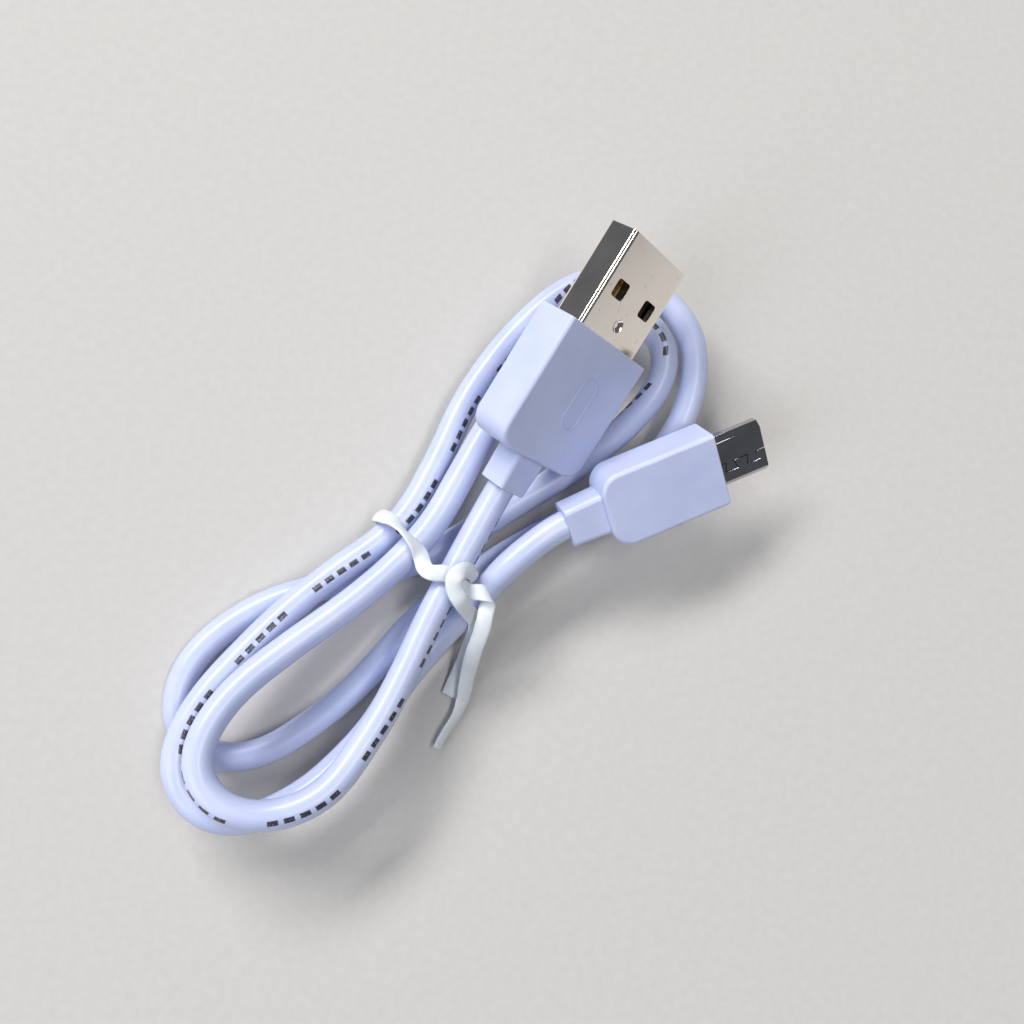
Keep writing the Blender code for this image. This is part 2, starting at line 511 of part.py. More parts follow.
b_half_w, b_half_h = B_SHELL_WIDTH / 2, B_SHELL_HEIGHT / 2


def bevelled_face(along, middle):
    return abs(along.x) > 0.99 and middle.z > 0


def square_face(along, middle):
    return abs(along.x) > 0.99 and middle.z < 0


b_shell = add_box("micro_b_shell", (B_SHELL_REAR, -b_half_w, -b_half_h), (B_SHELL_FRONT, b_half_w, b_half_h),
                  micro_b, STEEL, [(bevelled_face, B_BEVEL, 1), (square_face, B_SQUARE_CORNER, 2)])
open_tube_mesh(b_shell.data)
shell_wall(b_shell, B_SHELL_WALL)
for side in (-1, 1):
    centre = side * B_LATCH_Y
    half_length, half_width = B_LATCH_WINDOW_HALF_LENGTH, B_LATCH_WINDOW_HALF_WIDTH
    cut_box(b_shell, (B_HOOK_X - half_length, centre - half_width, -b_half_h - MM),
            (B_HOOK_X + half_length, centre + half_width, -b_half_h / 2), micro_b)

# The seam of the folded shell: a dovetailed slit along the middle of the bevelled face
seam_swing = SEAM_HALF_SWING
seam = [(B_SHELL_REAR - MM, SEAM_Y + seam_swing)]
for turn_x in SEAM_TURNS:
    seam += [(turn_x + SEAM_SLANT, SEAM_Y + seam_swing), (turn_x - SEAM_SLANT, SEAM_Y - seam_swing)]
    seam_swing = -seam_swing
seam.append((B_SHELL_FRONT + MM, SEAM_Y + seam_swing))
seam_curve = bpy.data.curves.new("micro_b_seam", "CURVE")
seam_curve.dimensions = "2D"
seam_curve.fill_mode = "NONE"
seam_curve.extrude = B_SHELL_HEIGHT / 4
seam_spline = seam_curve.splines.new("POLY")
seam_spline.points.add(len(seam) - 1)
for point, (px, py) in zip(seam_spline.points, seam):
    point.co = (px, py, 0, 1)
seam_line = add_object("micro_b_seam_line", seam_curve, cutters)
seam_width = seam_line.modifiers.new("width", "SOLIDIFY")
seam_width.thickness = SEAM_GAP
seam_width.offset = 0.0
bpy.context.view_layer.update()
seam_mesh = bpy.data.meshes.new_from_object(seam_line.evaluated_get(bpy.context.evaluated_depsgraph_get()))
bpy.data.objects.remove(seam_line)
seam_cutter = add_object("micro_b_seam", seam_mesh, cutters, micro_b)
seam_cutter.location.z = b_half_h - B_SHELL_WALL / 2
boolean(b_shell, seam_cutter)

# Insulator: a plate with five grooves, and a block behind it over them
insulator = add_box("micro_b_insulator", (B_PLATE_REAR, -B_PLATE_HALF_WIDTH, B_PLATE_BOTTOM),
                    (B_PLATE_FRONT, B_PLATE_HALF_WIDTH, B_PLATE_TOP), micro_b, BLACK_PLASTIC)
join_box(insulator, (B_PLATE_REAR, -B_BLOCK_HALF_WIDTH, B_PLATE_BOTTOM / 2),
         (B_BLOCK_FRONT, B_BLOCK_HALF_WIDTH, B_BLOCK_TOP), micro_b)

for number in range(5):
    y = (number - 2) * B_CONTACT_PITCH
    half = B_CONTACT_WIDTH / 2
    cut_box(insulator, (B_PLATE_REAR - MM, y - half - FIT_GAP, B_GROOVE_BOTTOM),
            (B_GROOVE_FRONT, y + half + FIT_GAP, B_GROOVE_TOP), micro_b)
    pivot = add_object(f"micro_b_contact_{number + 1}_axis", None, parent=micro_b)
    pivot.location = (B_CONTACT_PIVOT_X, y, B_CONTACT_Z)
    spring = add_box(f"micro_b_contact_{number + 1}", (B_CONTACT_REAR, -half, -B_CONTACT_THICKNESS / 2),
                     (B_CONTACT_FRONT, half, B_CONTACT_THICKNESS / 2), pivot, GOLD)
    join_box(spring, (B_CONTACT_BEND_START, -half, 0), (B_CONTACT_BEND_END, half, B_CONTACT_BEND_HEIGHT),
             pivot,
             [(lambda along, middle: abs(along.y) > 0.99 and middle.z > B_CONTACT_THICKNESS, 0.1 * MM, 1)])

for side, word in ((1, "left"), (-1, "right")):
    pivot = add_object(f"micro_b_latch_{word}_axis", None, parent=micro_b)
    pivot.location = (B_LATCH_PIVOT_X, side * B_LATCH_Y, B_LATCH_Z)
    half = B_LATCH_WIDTH / 2
    hook_x = B_HOOK_X - B_LATCH_PIVOT_X
    latch = add_box(f"micro_b_latch_{word}", (-B_LATCH_TAIL, -half, -B_LATCH_THICKNESS / 2),
                    (hook_x + B_LATCH_TIP, half, B_LATCH_THICKNESS / 2), pivot, STEEL)
    join_box(latch, (hook_x - B_HOOK_REAR, -half, -B_HOOK_DEPTH), (hook_x + B_HOOK_FRONT, half, 0), pivot,
             [(lambda along, middle: abs(along.y) > 0.99 and middle.z < -B_HOOK_DEPTH / 2, B_HOOK_BEVEL, 1)])

inner_mould("micro_b_premould", micro_b, B_MOULD_REAR, B_MOULD_FRONT, B_MOULD_HALF_WIDTH, B_MOULD_HALF_HEIGHT,
            B_CAVITY_HALF_WIDTH)

grip("micro_b_overmould", micro_b, (B_BODY_REAR, B_BODY_WIDTH / 2, B_BODY_HEIGHT / 2),
     (B_NECK_REAR, B_NECK_WIDTH / 2, B_NECK_HEIGHT / 2), (POCKET_FRONT - MM, b_half_w, b_half_h),
     [(bevelled_face, B_BEVEL, 1)], (B_MOULD_REAR, B_MOULD_HALF_WIDTH, B_MOULD_HALF_HEIGHT))


# ---------------------------------------------------------------- the twist tie

tie_rows = stations(catmull_rom([place + tuple(Vector(facing).normalized()) for place, facing in TIE_ROUTE]),
                    TIE_STATIONS, TIE_BEND_SHARE)
tie_path = vectors(tie_rows[:, :3])
tie_facings = vectors(tie_rows[:, 3:])
tube("twist_tie_wire", tie_path, TIE_WIRE_RADIUS, 1, IRON)


def ring(bm, profile, place, along, facing):
    up = (facing - along * facing.dot(along)).normalized()
    across = along.cross(up)
    return [bm.verts.new(place + across * a + up * b) for a, b in profile]


# The strip's flat side turns along its way, so its rings are joined here: an outer skin, the hole for the
# wire and the two cut ends
a, b = TIE_WIDTH / 2, TIE_THICKNESS / 2
SIDES = 8
outer_profile = [(a, b - TIE_CORNER), (a - TIE_CORNER, b), (-a + TIE_CORNER, b), (-a, b - TIE_CORNER),
                 (-a, -b + TIE_CORNER), (-a + TIE_CORNER, -b), (a - TIE_CORNER, -b), (a, -b + TIE_CORNER)]
hole_profile = []
for step in range(SIDES):
    angle = 2 * math.pi * (step + 0.5) / SIDES
    hole_profile.append((TIE_HOLE_RADIUS * math.cos(angle), TIE_HOLE_RADIUS * math.sin(angle)))

bm = bmesh.new()
rings = []
for place, along, facing in zip(tie_path, tangents(tie_path), tie_facings):
    rings.append((ring(bm, outer_profile, place, along, facing),
                  ring(bm, hole_profile, place, along, facing)))
for (outer_a, hole_a), (outer_b, hole_b) in zip(rings, rings[1:]):
    for i in range(SIDES):
        j = (i + 1) % SIDES
        bm.faces.new((outer_a[i], outer_a[j], outer_b[j], outer_b[i]))
        bm.faces.new((hole_a[j], hole_a[i], hole_b[i], hole_b[j]))
for (outer, hole), first in ((rings[0], True), (rings[-1], False)):
    for i in range(SIDES):
        j = (i + 1) % SIDES
        corners = (outer[j], outer[i], hole[i], hole[j])
        bm.faces.new(corners if first else corners[::-1])
bmesh.ops.recalc_face_normals(bm, faces=bm.faces)
tie_mesh = bpy.data.meshes.new("twist_tie_cover")
bm.to_mesh(tie_mesh)
bm.free()
add_object("twist_tie_cover", tie_mesh, finish=TIE_PLASTIC)
smooth_shade(tie_mesh, 50.0)
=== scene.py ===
"""Looks of the folded USB-A to Micro-USB-B charging lead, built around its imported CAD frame.

Metres, in the CAD frame. Each plug has a local frame with +X its plugging direction, +Y its width, +Z the
normal of its upper face and x = 0 at the front face of its white grip.
"""
import math

import bmesh
import bpy
import numpy as np
from mathutils import Euler, Matrix, Vector


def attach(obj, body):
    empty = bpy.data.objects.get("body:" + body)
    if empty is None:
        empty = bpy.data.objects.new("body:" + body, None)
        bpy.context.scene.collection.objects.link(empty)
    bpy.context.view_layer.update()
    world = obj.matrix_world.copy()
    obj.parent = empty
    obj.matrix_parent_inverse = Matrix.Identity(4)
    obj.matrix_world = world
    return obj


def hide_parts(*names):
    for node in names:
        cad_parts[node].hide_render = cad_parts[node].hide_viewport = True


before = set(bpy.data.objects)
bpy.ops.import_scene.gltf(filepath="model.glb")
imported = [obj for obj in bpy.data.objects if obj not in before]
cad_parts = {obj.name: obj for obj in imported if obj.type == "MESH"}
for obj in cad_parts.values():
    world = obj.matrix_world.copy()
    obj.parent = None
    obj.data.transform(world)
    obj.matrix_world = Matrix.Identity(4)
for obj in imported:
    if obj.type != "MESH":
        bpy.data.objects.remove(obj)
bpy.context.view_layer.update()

MM = 0.001
BODY = "lead"
SQUARE_CORNERS = ((1, 1), (-1, 1), (-1, -1), (1, -1))

# Camera
CAMERA_PLACE = (-0.0117, 0.0005, 0.1331)
CAMERA_TILT, CAMERA_TURN = -9, -45
CAMERA_LENS, CAMERA_SENSOR, CAMERA_NEAR = 36.0, 36.0, 0.005

# Cable, and how its centre line is smoothed. Its section is a little oval, and the oval turns once in a lay
CABLE_RADIUS = 0.0018
CABLE_END_INSIDE = 0.0125
CABLE_RING_STEP = 0.0008
CABLE_SIDES = 24
CABLE_OVALNESS = 0.008
CABLE_LAY = 0.055
CABLE_FAIRING = 60
STEPS_PER_STRETCH = 24
FAIRING_WEIGHTS = (0.5, -0.52)
NECK_STRAIGHT = 0.0008

# The jacket's print, in millimetres: dashes in groups. Their soft edges are in millimetres and in turns
DASH_PITCH, DASH_LENGTH, DASH_HEIGHT = 1.75, 1.15, 0.70
DASH_SOFT_ALONG, DASH_SOFT_AROUND = 0.05, 0.004
GROUP_PITCH, GROUP_LENGTH = 12.25, 8.7

# Where each plug lies: origin, then roll about its axis, pitch of its nose upwards and yaw, in degrees
USB_A_ORIGIN = (0.0293, 0.0084, 0.0152)
USB_A_ROLL, USB_A_PITCH, USB_A_YAW = 47.8, 15.5, 13.4
MICRO_B_ORIGIN = (0.0302, -0.0130, 0.0100)
MICRO_B_ROLL, MICRO_B_PITCH, MICRO_B_YAW = 27.6, 2.3, -22.6

# USB-A plug
A_SHELL_HALF_WIDTH, A_SHELL_HALF_HEIGHT, A_SHELL_WALL, A_SHELL_CORNER = 0.0060, 0.00225, 0.0003, 0.00055
A_SHELL_FRONT, A_SHELL_REAR = 0.0120, -0.0050
A_WINDOW_X, A_WINDOW_Y = 0.00565, 0.0030
A_WINDOW_LENGTH, A_WINDOW_WIDTH, A_WINDOW_CORNER = 0.0022, 0.0023, 0.0004
A_SEAM_GAP = 0.00008
A_DIMPLE_X, A_DIMPLE_RADIUS, A_DIMPLE_DEPTH = 0.0022, 0.00085, 0.00036
A_BODY_HALF_WIDTH, A_BODY_HALF_HEIGHT, A_BODY_REAR = 0.0081, 0.0030, -0.0166
A_NECK_HALF_WIDTH, A_NECK_HALF_HEIGHT, A_NECK_REAR = 0.0025, 0.0021, -0.0214
A_SOFTENED = 0.00007
MARK_X, MARK_Y, MARK_LENGTH, MARK_WIDTH = -0.0081, -0.0008, 0.0068, 0.0028
MARK_LINE_HALF_WIDTH, MARK_LINE_HEIGHT = 0.00017, 0.00010

# Micro-B plug
B_SHELL_HALF_WIDTH, B_SHELL_HALF_HEIGHT, B_SHELL_WALL, B_BEVEL = 0.003425, 0.0009, 0.0002, 0.0007
B_SHELL_FRONT, B_SHELL_REAR = 0.0067, -0.0045
B_CORNER, B_SQUARE_CORNER = 0.00012, 0.00018
B_LATCH_Y, B_HOOK_X = 0.00235, 0.0037
B_LATCH_WINDOW_LENGTH, B_LATCH_WINDOW_WIDTH, B_LATCH_WINDOW_CORNER = 0.0022, 0.0009, 0.00015
B_SOFTENED = 0.00012
SEAM_Y, SEAM_HALF_SWING, SEAM_SLANT, SEAM_GAP = -0.00085, 0.0006, 0.00016, 0.00009
SEAM_TURNS = (0.0011, 0.0026, 0.0041, 0.0056)
B_BODY_HALF_WIDTH, B_BODY_HALF_HEIGHT, B_BODY_REAR = 0.0049, 0.0029, -0.0154
B_NECK_HALF_WIDTH, B_NECK_HALF_HEIGHT, B_NECK_REAR = 0.0026, 0.0021, -0.0203

# Both shells: their rounded lip and the smallest corner that an inner outline may have
LIP = 0.00007
LEAST_CORNER = 0.00002

# Both grips: corners and edges, the gap round the shell and the cable, and the neck, narrower at its end
GRIP_CORNER, GRIP_EDGE, GRIP_FRONT_EDGE = 0.0026, 0.00055, 0.00022
FIT = 0.00003
SLOT_REAR = -0.0060
BORE_DEPTH = 0.0028
NECK_CORNER, NECK_END_CORNER, NECK_CHAMFER = 0.0007, 0.0006, 0.00012
NECK_END_SHARE, NECK_ROOT_SHARE = 0.97, 1.06

# The least angle of an edge that stays sharp, in degrees
SHARP_ANGLE, SHELL_SHARP_ANGLE = 50, 40

# Twist tie: its middle is thicker than its edges, and its size wavers with two wavelengths.
# Its section's outline lies between an ellipse and a rectangle: the lower the powers, the squarer
TIE_HALF_WIDTH, TIE_HALF_THICKNESS, TIE_EDGE = 0.00102, 0.00036, 0.00026
TIE_WIDTH_POWER, TIE_HEIGHT_POWER = 0.7, 0.8
TIE_SIDES = 20
TIE_RING_STEP = 0.00025
TIE_FAIRING = 30
TIE_WAVER, TIE_WAVES = 0.05, (0.0031, 0.0073)

# The floor lies a little below the CAD's lowest point, to clear the corner of the tie's long tail
FLOOR_DROP = 0.00006
FLOOR_HALF_SIZE = 1.5

# Light: the lamps' two colours, and the even light from all sides
WARM, COOL = (1.0, 0.98, 0.95), (0.92, 0.95, 1.0)
SKY, SKY_STRENGTH = (0.85, 0.90, 1.0, 1), 0.12

# The cable's route from the USB-A neck to the Micro-B neck: the centre line of the free part
ROUTE = [
    # down from the neck, over the others at the tie and out to the first loop
    (0.0024, 0.0017, 0.0090), (-0.0016, 0.0005, 0.0090), (-0.0081, -0.0015, 0.0092),
    (-0.0151, -0.0040, 0.0096), (-0.0221, -0.0060, 0.0103), (-0.0311, -0.0070, 0.0113),
    (-0.0371, -0.0040, 0.0118), (-0.0396, 0.0005, 0.0120), (-0.0388, 0.0048, 0.0118),
    (-0.0356, 0.0073, 0.0114), (-0.0301, 0.0084, 0.0108), (-0.0241, 0.0080, 0.0102),
    # back under the USB-A grip and round the inner arc at the plugs' end
    (-0.0141, 0.0065, 0.0094), (-0.0086, 0.0060, 0.0088), (-0.0036, 0.0060, 0.0082),
    (0.0009, 0.0065, 0.0078), (0.0064, 0.0080, 0.0076), (0.0134, 0.0100, 0.0070),
    (0.0219, 0.0118, 0.0066), (0.0299, 0.0123, 0.0064), (0.0356, 0.0106, 0.0066),
    (0.0379, 0.0065, 0.0068), (0.0376, 0.0022, 0.0068), (0.0352, -0.0005, 0.0064),
    (0.0314, -0.0018, 0.0056), (0.0254, -0.0020, 0.0038),
    # along the table, under the tie and round the lowest loop
    (0.0184, -0.0010, 0.0022), (0.0119, 0.0005, 0.0018), (0.0054, 0.0020, 0.0024),
    (-0.0016, 0.0038, 0.0030), (-0.0076, 0.0064, 0.0026), (-0.0141, 0.0103, 0.0018),
    (-0.0206, 0.0138, 0.0018), (-0.0276, 0.0155, 0.0018), (-0.0336, 0.0150, 0.0018),
    (-0.0379, 0.0120, 0.0018), (-0.0391, 0.0080, 0.0018), (-0.0374, 0.0040, 0.0018),
    (-0.0336, 0.0012, 0.0018), (-0.0281, -0.0003, 0.0018), (-0.0226, -0.0010, 0.0020),
    (-0.0166, -0.0010, 0.0024),
    # under the tie again, under the Micro-B grip and round the outer arc
    (-0.0101, -0.0007, 0.0028), (-0.0036, -0.0012, 0.0030), (0.0039, -0.0027, 0.0022),
    (0.0124, -0.0050, 0.0018), (0.0214, -0.0073, 0.0022), (0.0279, -0.0078, 0.0036),
    (0.0334, -0.0065, 0.0050), (0.0384, -0.0035, 0.0056), (0.0417, 0.0005, 0.0056),
    (0.0427, 0.0058, 0.0052), (0.0409, 0.0117, 0.0048), (0.0356, 0.0155, 0.0046),
    # back over the lowest loop, round the second loop and under the first one
    (0.0269, 0.0165, 0.0044), (0.0159, 0.0150, 0.0044), (0.0059, 0.0115, 0.0046),
    (-0.0006, 0.0097, 0.0048), (-0.0058, 0.0096, 0.0052), (-0.0111, 0.0104, 0.0058),
    (-0.0186, 0.0112, 0.0066), (-0.0266, 0.0112, 0.0070), (-0.0331, 0.0107, 0.0074),
    (-0.0378, 0.0094, 0.0076), (-0.0411, 0.0072, 0.0076), (-0.0426, 0.0042, 0.0074),
    (-0.0424, 0.0005, 0.0072), (-0.0401, -0.0027, 0.0070), (-0.0361, -0.0048, 0.0068),
    (-0.0311, -0.0060, 0.0064),
    # up beside the first strand to the Micro-B neck
    (-0.0226, -0.0060, 0.0056), (-0.0166, -0.0048, 0.0051), (-0.0101, -0.0042, 0.0051),
    (-0.0046, -0.0040, 0.0060), (0.0004, -0.0039, 0.0076), (0.0049, -0.0040, 0.0087),
]

# Which way round the printed line lies at some of the route's points: the point's number, and degrees
# from straight up
PRINT_TURNS = [(0, -80), (2, -68), (4, -36), (6, -25), (8, -70), (11, -180), (17, -180), (20, 20), (22, 0),
               (24, 55), (27, 180), (50, 180), (54, -50), (57, -30), (60, -8), (63, -15), (65, -60),
               (69, -180), (75, -180)]

# The twist tie's centre line from its long tail to its short one, and the way its flat side faces
TIE_ROUTE = [
    # long tail, rising to the knot
    ((-0.0189, -0.0139, 0.0010), (-0.2, 0.9, -0.6)), ((-0.0169, -0.0133, 0.0010), (-0.2, 0.9, -0.6)),
    ((-0.0144, -0.0128, 0.0011), (-0.15, 0.8, -0.7)), ((-0.0122, -0.0118, 0.0015), (-0.1, 0.6, -0.9)),
    ((-0.0103, -0.0104, 0.0028), (-0.1, 0.3, -1)), ((-0.0086, -0.0092, 0.0047), (0, 0, -1)),
    ((-0.0071, -0.0082, 0.0070), (0.15, -0.15, -1)), ((-0.0055, -0.0073, 0.0091), (0.2, -0.2, -1)),
    ((-0.0040, -0.0064, 0.0103), (0.1, -0.1, -1)), ((-0.0030, -0.0057, 0.0105), (0.1, -0.1, -1)),
    # folded back on itself
    ((-0.0021, -0.0052, 0.0105), (0.6, -0.2, -0.8)), ((-0.0016, -0.0047, 0.0109), (0.9, -0.3, 0.2)),
    ((-0.0017, -0.0041, 0.0113), (0.6, -0.2, 0.8)), ((-0.0020, -0.0035, 0.0113), (0, 0, 1)),
    ((-0.0027, -0.0028, 0.0110), (0, 0, 1)), ((-0.0030, -0.0016, 0.0109), (0, 0, 1)),
    # over the strands to the far side
    ((-0.0031, -0.0002, 0.0113), (0, 0, 1)), ((-0.0033, 0.0009, 0.0114), (0, 0, 1)),
    ((-0.0040, 0.0017, 0.0114), (0, 0, 1)), ((-0.0045, 0.0024, 0.0113), (0, 0.2, 1)),
    ((-0.0045, 0.0033, 0.0110), (0, 0.1, 1)), ((-0.0041, 0.0040, 0.0108), (0.1, 0, 1)),
    ((-0.0037, 0.0049, 0.0108), (0.5, 0.2, 1)), ((-0.0034, 0.0063, 0.0110), (0.8, 0.2, 0.6)),
    ((-0.0033, 0.0078, 0.0106), (1, 0.2, 0.3)), ((-0.0032, 0.0093, 0.0097), (0.8, 0.5, 0.4)),
    ((-0.0033, 0.0106, 0.0082), (0.3, 0.9, 0.5)), ((-0.0035, 0.0115, 0.0066), (0, 1, 0.4)),
    ((-0.0037, 0.0120, 0.0049), (0, 1, 0)),
    # down and back under all the strands
    ((-0.0035, 0.0121, 0.0022), (0, 0.8, -0.6)), ((-0.0033, 0.0105, 0.0006), (0, 0.2, -1)),
    ((-0.0030, 0.0070, 0.0004), (0, 0, -1)), ((-0.0028, 0.0026, 0.0004), (0, 0, -1)),
    ((-0.0026, -0.0018, 0.0004), (0, 0, -1)), ((-0.0021, -0.0042, 0.0007), (0, -0.3, -1)),
    ((-0.0011, -0.0049, 0.0020), (0, -1, -0.2)), ((-0.0005, -0.0042, 0.0040), (0, -1, 0.5)),
    # up between the two strands that run to the plugs and round the knot
    ((-0.0004, -0.0027, 0.0050), (0, -0.75, 0.65)), ((-0.0008, -0.0016, 0.0068), (0, -0.9, 0.4)),
    ((-0.0012, -0.0018, 0.0081), (0, -1, 0)), ((-0.0012, -0.0019, 0.0094), (0.1, -1, 0)),
    ((-0.0010, -0.0013, 0.0107), (0.5, -0.8, 0.2)), ((-0.0013, -0.0006, 0.0119), (0.5, -0.5, 0.6)),
    ((-0.0019, -0.0002, 0.0127), (0.1, 0.1, 1)), ((-0.0028, -0.0001, 0.0131), (0, 0.1, 1)),
    ((-0.0035, -0.0005, 0.0131), (0, 0, 1)), ((-0.0041, -0.0015, 0.0127), (0, -0.1, 1)),
    ((-0.0044, -0.0026, 0.0123), (0, -0.2, 1)), ((-0.0045, -0.0038, 0.0109), (0, -0.6, 1)),
    ((-0.0045, -0.0047, 0.0091), (0, -0.8, 0.8)),
    # sharply down to the short tail
    ((-0.0045, -0.0056, 0.0077), (0.1, -0.5, 1)), ((-0.0051, -0.0064, 0.0068), (0.1, -0.3, 1)),
    ((-0.0061, -0.0071, 0.0054), (0, -0.1, 1)), ((-0.0078, -0.0080, 0.0036), (0, 0, 1)),
    ((-0.0106, -0.0093, 0.0013), (0, 0, 1)), ((-0.0132, -0.0103, 0.0005), (0, 0, 1)),
]


# ---------------------------------------------------------------- camera

camera_data = bpy.data.cameras.new("camera")
camera_data.sensor_width = CAMERA_SENSOR
camera_data.lens = CAMERA_LENS
camera_data.clip_start = CAMERA_NEAR
camera = bpy.data.objects.new("camera", camera_data)
bpy.context.scene.collection.objects.link(camera)
camera.matrix_world = (Matrix.Translation(CAMERA_PLACE)
                       @ Matrix.Rotation(math.radians(CAMERA_TILT), 4, "Y")
                       @ Matrix.Rotation(math.radians(CAMERA_TURN), 4, "Z"))
bpy.context.scene.camera = camera


# ---------------------------------------------------------------- paths

def plug_matrix(origin, roll, pitch, yaw):
    turn = Euler([math.radians(angle) for angle in (roll, -pitch, yaw)]).to_matrix().to_4x4()
    return Matrix.Translation(origin) @ turn


USB_A = plug_matrix(USB_A_ORIGIN, USB_A_ROLL, USB_A_PITCH, USB_A_YAW)
MICRO_B = plug_matrix(MICRO_B_ORIGIN, MICRO_B_ROLL, MICRO_B_PITCH, MICRO_B_YAW)


def catmull_rom(rows):
    """A centripetal Catmull-Rom curve through rows that start with a place; their other numbers go along."""
    rows = np.array(rows, float)
    rows = np.vstack([2 * rows[0] - rows[1], rows, 2 * rows[-1] - rows[-2]])
    dense = []
    for p0, p1, p2, p3 in zip(rows, rows[1:], rows[2:], rows[3:]):
        t1 = np.linalg.norm(p1[:3] - p0[:3]) ** 0.5
        t2 = t1 + np.linalg.norm(p2[:3] - p1[:3]) ** 0.5
        t3 = t2 + np.linalg.norm(p3[:3] - p2[:3]) ** 0.5
        for t in t1 + (t2 - t1) * np.arange(STEPS_PER_STRETCH) / STEPS_PER_STRETCH:
            a1 = p0 + (p1 - p0) * t / t1
            a2 = p1 + (p2 - p1) * (t - t1) / (t2 - t1)
            a3 = p2 + (p3 - p2) * (t - t2) / (t3 - t2)
            b1 = a1 + (a2 - a1) * t / t2
            b2 = a2 + (a3 - a2) * (t - t1) / (t3 - t1)
            dense.append(b1 + (b2 - b1) * (t - t1) / (t2 - t1))
    dense.append(rows[-2])
    return np.array(dense)


def even_steps(rows, step):
    """The same curve again, at equal steps of length."""
    lengths = np.concatenate([[0], np.cumsum(np.linalg.norm(np.diff(rows[:, :3], axis=0), axis=1))])
    places = np.linspace(0, lengths[-1], int(round(lengths[-1] / step)) + 1)
    return np.column_stack([np.interp(places, lengths, rows[:, i]) for i in range(rows.shape[1])])


def faired(rows, passes):
    """Takes the small waves out of a curve without shrinking its bends. Its ends stay."""
    rows = rows.copy()
    for _ in range(passes):
        for weight in FAIRING_WEIGHTS:
            rows[1:-1] += weight * ((rows[:-2] + rows[2:]) / 2 - rows[1:-1])
    return rows


def unit(rows):
    return rows / np.linalg.norm(rows, axis=-1, keepdims=True)


def tangents(path):
    return unit(np.gradient(path, axis=0))


def strip_mesh(name, path, across, up, profiles):
    """Skins rings along a path and closes both ends. UV: millimetres along, and turns round the section."""
    count, sides = len(path), profiles.shape[1]
    rings = path[:, None] + across[:, None] * profiles[:, :, :1] + up[:, None] * profiles[:, :, 1:]
    lengths = np.concatenate([[0], np.cumsum(np.linalg.norm(np.diff(path, axis=0), axis=1))]) / MM
    bm = bmesh.new()
    uv = bm.loops.layers.uv.new("along")
    verts = [[bm.verts.new(point) for point in ring] for ring in rings]
    for i in range(count - 1):
        for j in range(sides):
            k = (j + 1) % sides
            face = bm.faces.new((verts[i][j], verts[i][k], verts[i + 1][k], verts[i + 1][j]))
            places = ((i, j), (i, j + 1), (i + 1, j + 1), (i + 1, j))
            for loop, (ring, side) in zip(face.loops, places):
                loop[uv].uv = (lengths[ring], side / sides)
    for ring, order in ((verts[0], -1), (verts[-1], 1)):
        cap = bm.faces.new(ring[::order])
        for loop in cap.loops:
            loop[uv].uv = (0, 0)
    bmesh.ops.recalc_face_normals(bm, faces=bm.faces)
    mesh = bpy.data.meshes.new(name)
    bm.to_mesh(mesh)
    bm.free()
    mesh.shade_smooth()
    mesh.set_sharp_from_angle(angle=math.radians(SHARP_ANGLE))
    return mesh


def add_piece(name, mesh, matrix, finish, replaces=()):
    piece = bpy.data.objects.new(name, mesh)
    bpy.context.scene.collection.objects.link(piece)
    piece.matrix_world = matrix
    mesh.materials.clear()
    mesh.materials.append(finish)
    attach(piece, BODY)
    if replaces:
        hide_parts(*replaces)
    return piece


# ---------------------------------------------------------------- materials

class Nodes:
    """A material's node tree, with the few kinds of node that the finishes below are made of."""

    def __init__(self, name, **sockets):
        self.material = bpy.data.materials.new(name)
        self.material.use_nodes = True
        self.tree = self.material.node_tree
        self.shader = self.tree.nodes["Principled BSDF"]
        for socket, value in sockets.items():
            self.shader.inputs[socket.replace("_", " ")].default_value = value

    def add(self, kind, inputs=(), **settings):
        node = self.tree.nodes.new(kind)
        for setting, value in settings.items():
            setattr(node, setting, value)
        for socket, value in dict(inputs).items():
            if isinstance(value, bpy.types.NodeSocket):
                self.tree.links.new(value, node.inputs[socket])
            else:
                node.inputs[socket].default_value = value
        return node

    def link(self, output, socket):
        self.tree.links.new(output, self.shader.inputs[socket])

    def place(self, scale):
        """Object coordinates, in units of one over scale metres along each axis."""
        coordinates = self.add("ShaderNodeTexCoord").outputs["Object"]
        return self.add("ShaderNodeMapping", {"Vector": coordinates, "Scale": scale}).outputs[0]

    def noise(self, vector, detail=3.0, roughness=0.5):
        node = self.add("ShaderNodeTexNoise",
                        {"Vector": vector, "Scale": 1.0, "Detail": detail, "Roughness": roughness})
        return node.outputs["Fac"]

    def math(self, operation, a, b=0.0):
        return self.add("ShaderNodeMath", {0: a, 1: b}, operation=operation).outputs[0]

    def between(self, value, low, high, to_low, to_high):
        """The value carried from one range to another, and held at its ends."""
        node = self.add("ShaderNodeMapRange", {"Value": value, "From Min": low, "From Max": high,
                                               "To Min": to_low, "To Max": to_high})
        return node.outputs["Result"]

    def blend(self, share, first, second):
        return self.add("ShaderNodeMix", {0: share, 6: first, 7: second}, data_type="RGBA").outputs[2]

    def bump(self, height, distance):
        node = self.add("ShaderNodeBump", {"Height": height, "Distance": distance})
        self.link(node.outputs["Normal"], "Normal")


def each_way(scale):
    return (scale, scale, scale)


PVC_COLOUR, PVC_SHADE = (0.55, 0.61, 0.85, 1), (0.50, 0.56, 0.81, 1)
DUST = (0.22, 0.22, 0.26, 1)
INK = (0.045, 0.045, 0.055, 1)
TIE_COLOUR, TIE_SHADE = (0.76, 0.81, 0.87, 1), (0.68, 0.73, 0.79, 1)
PAPER, PAPER_SHADE = (0.55, 0.54, 0.53, 1), (0.52, 0.51, 0.50, 1)


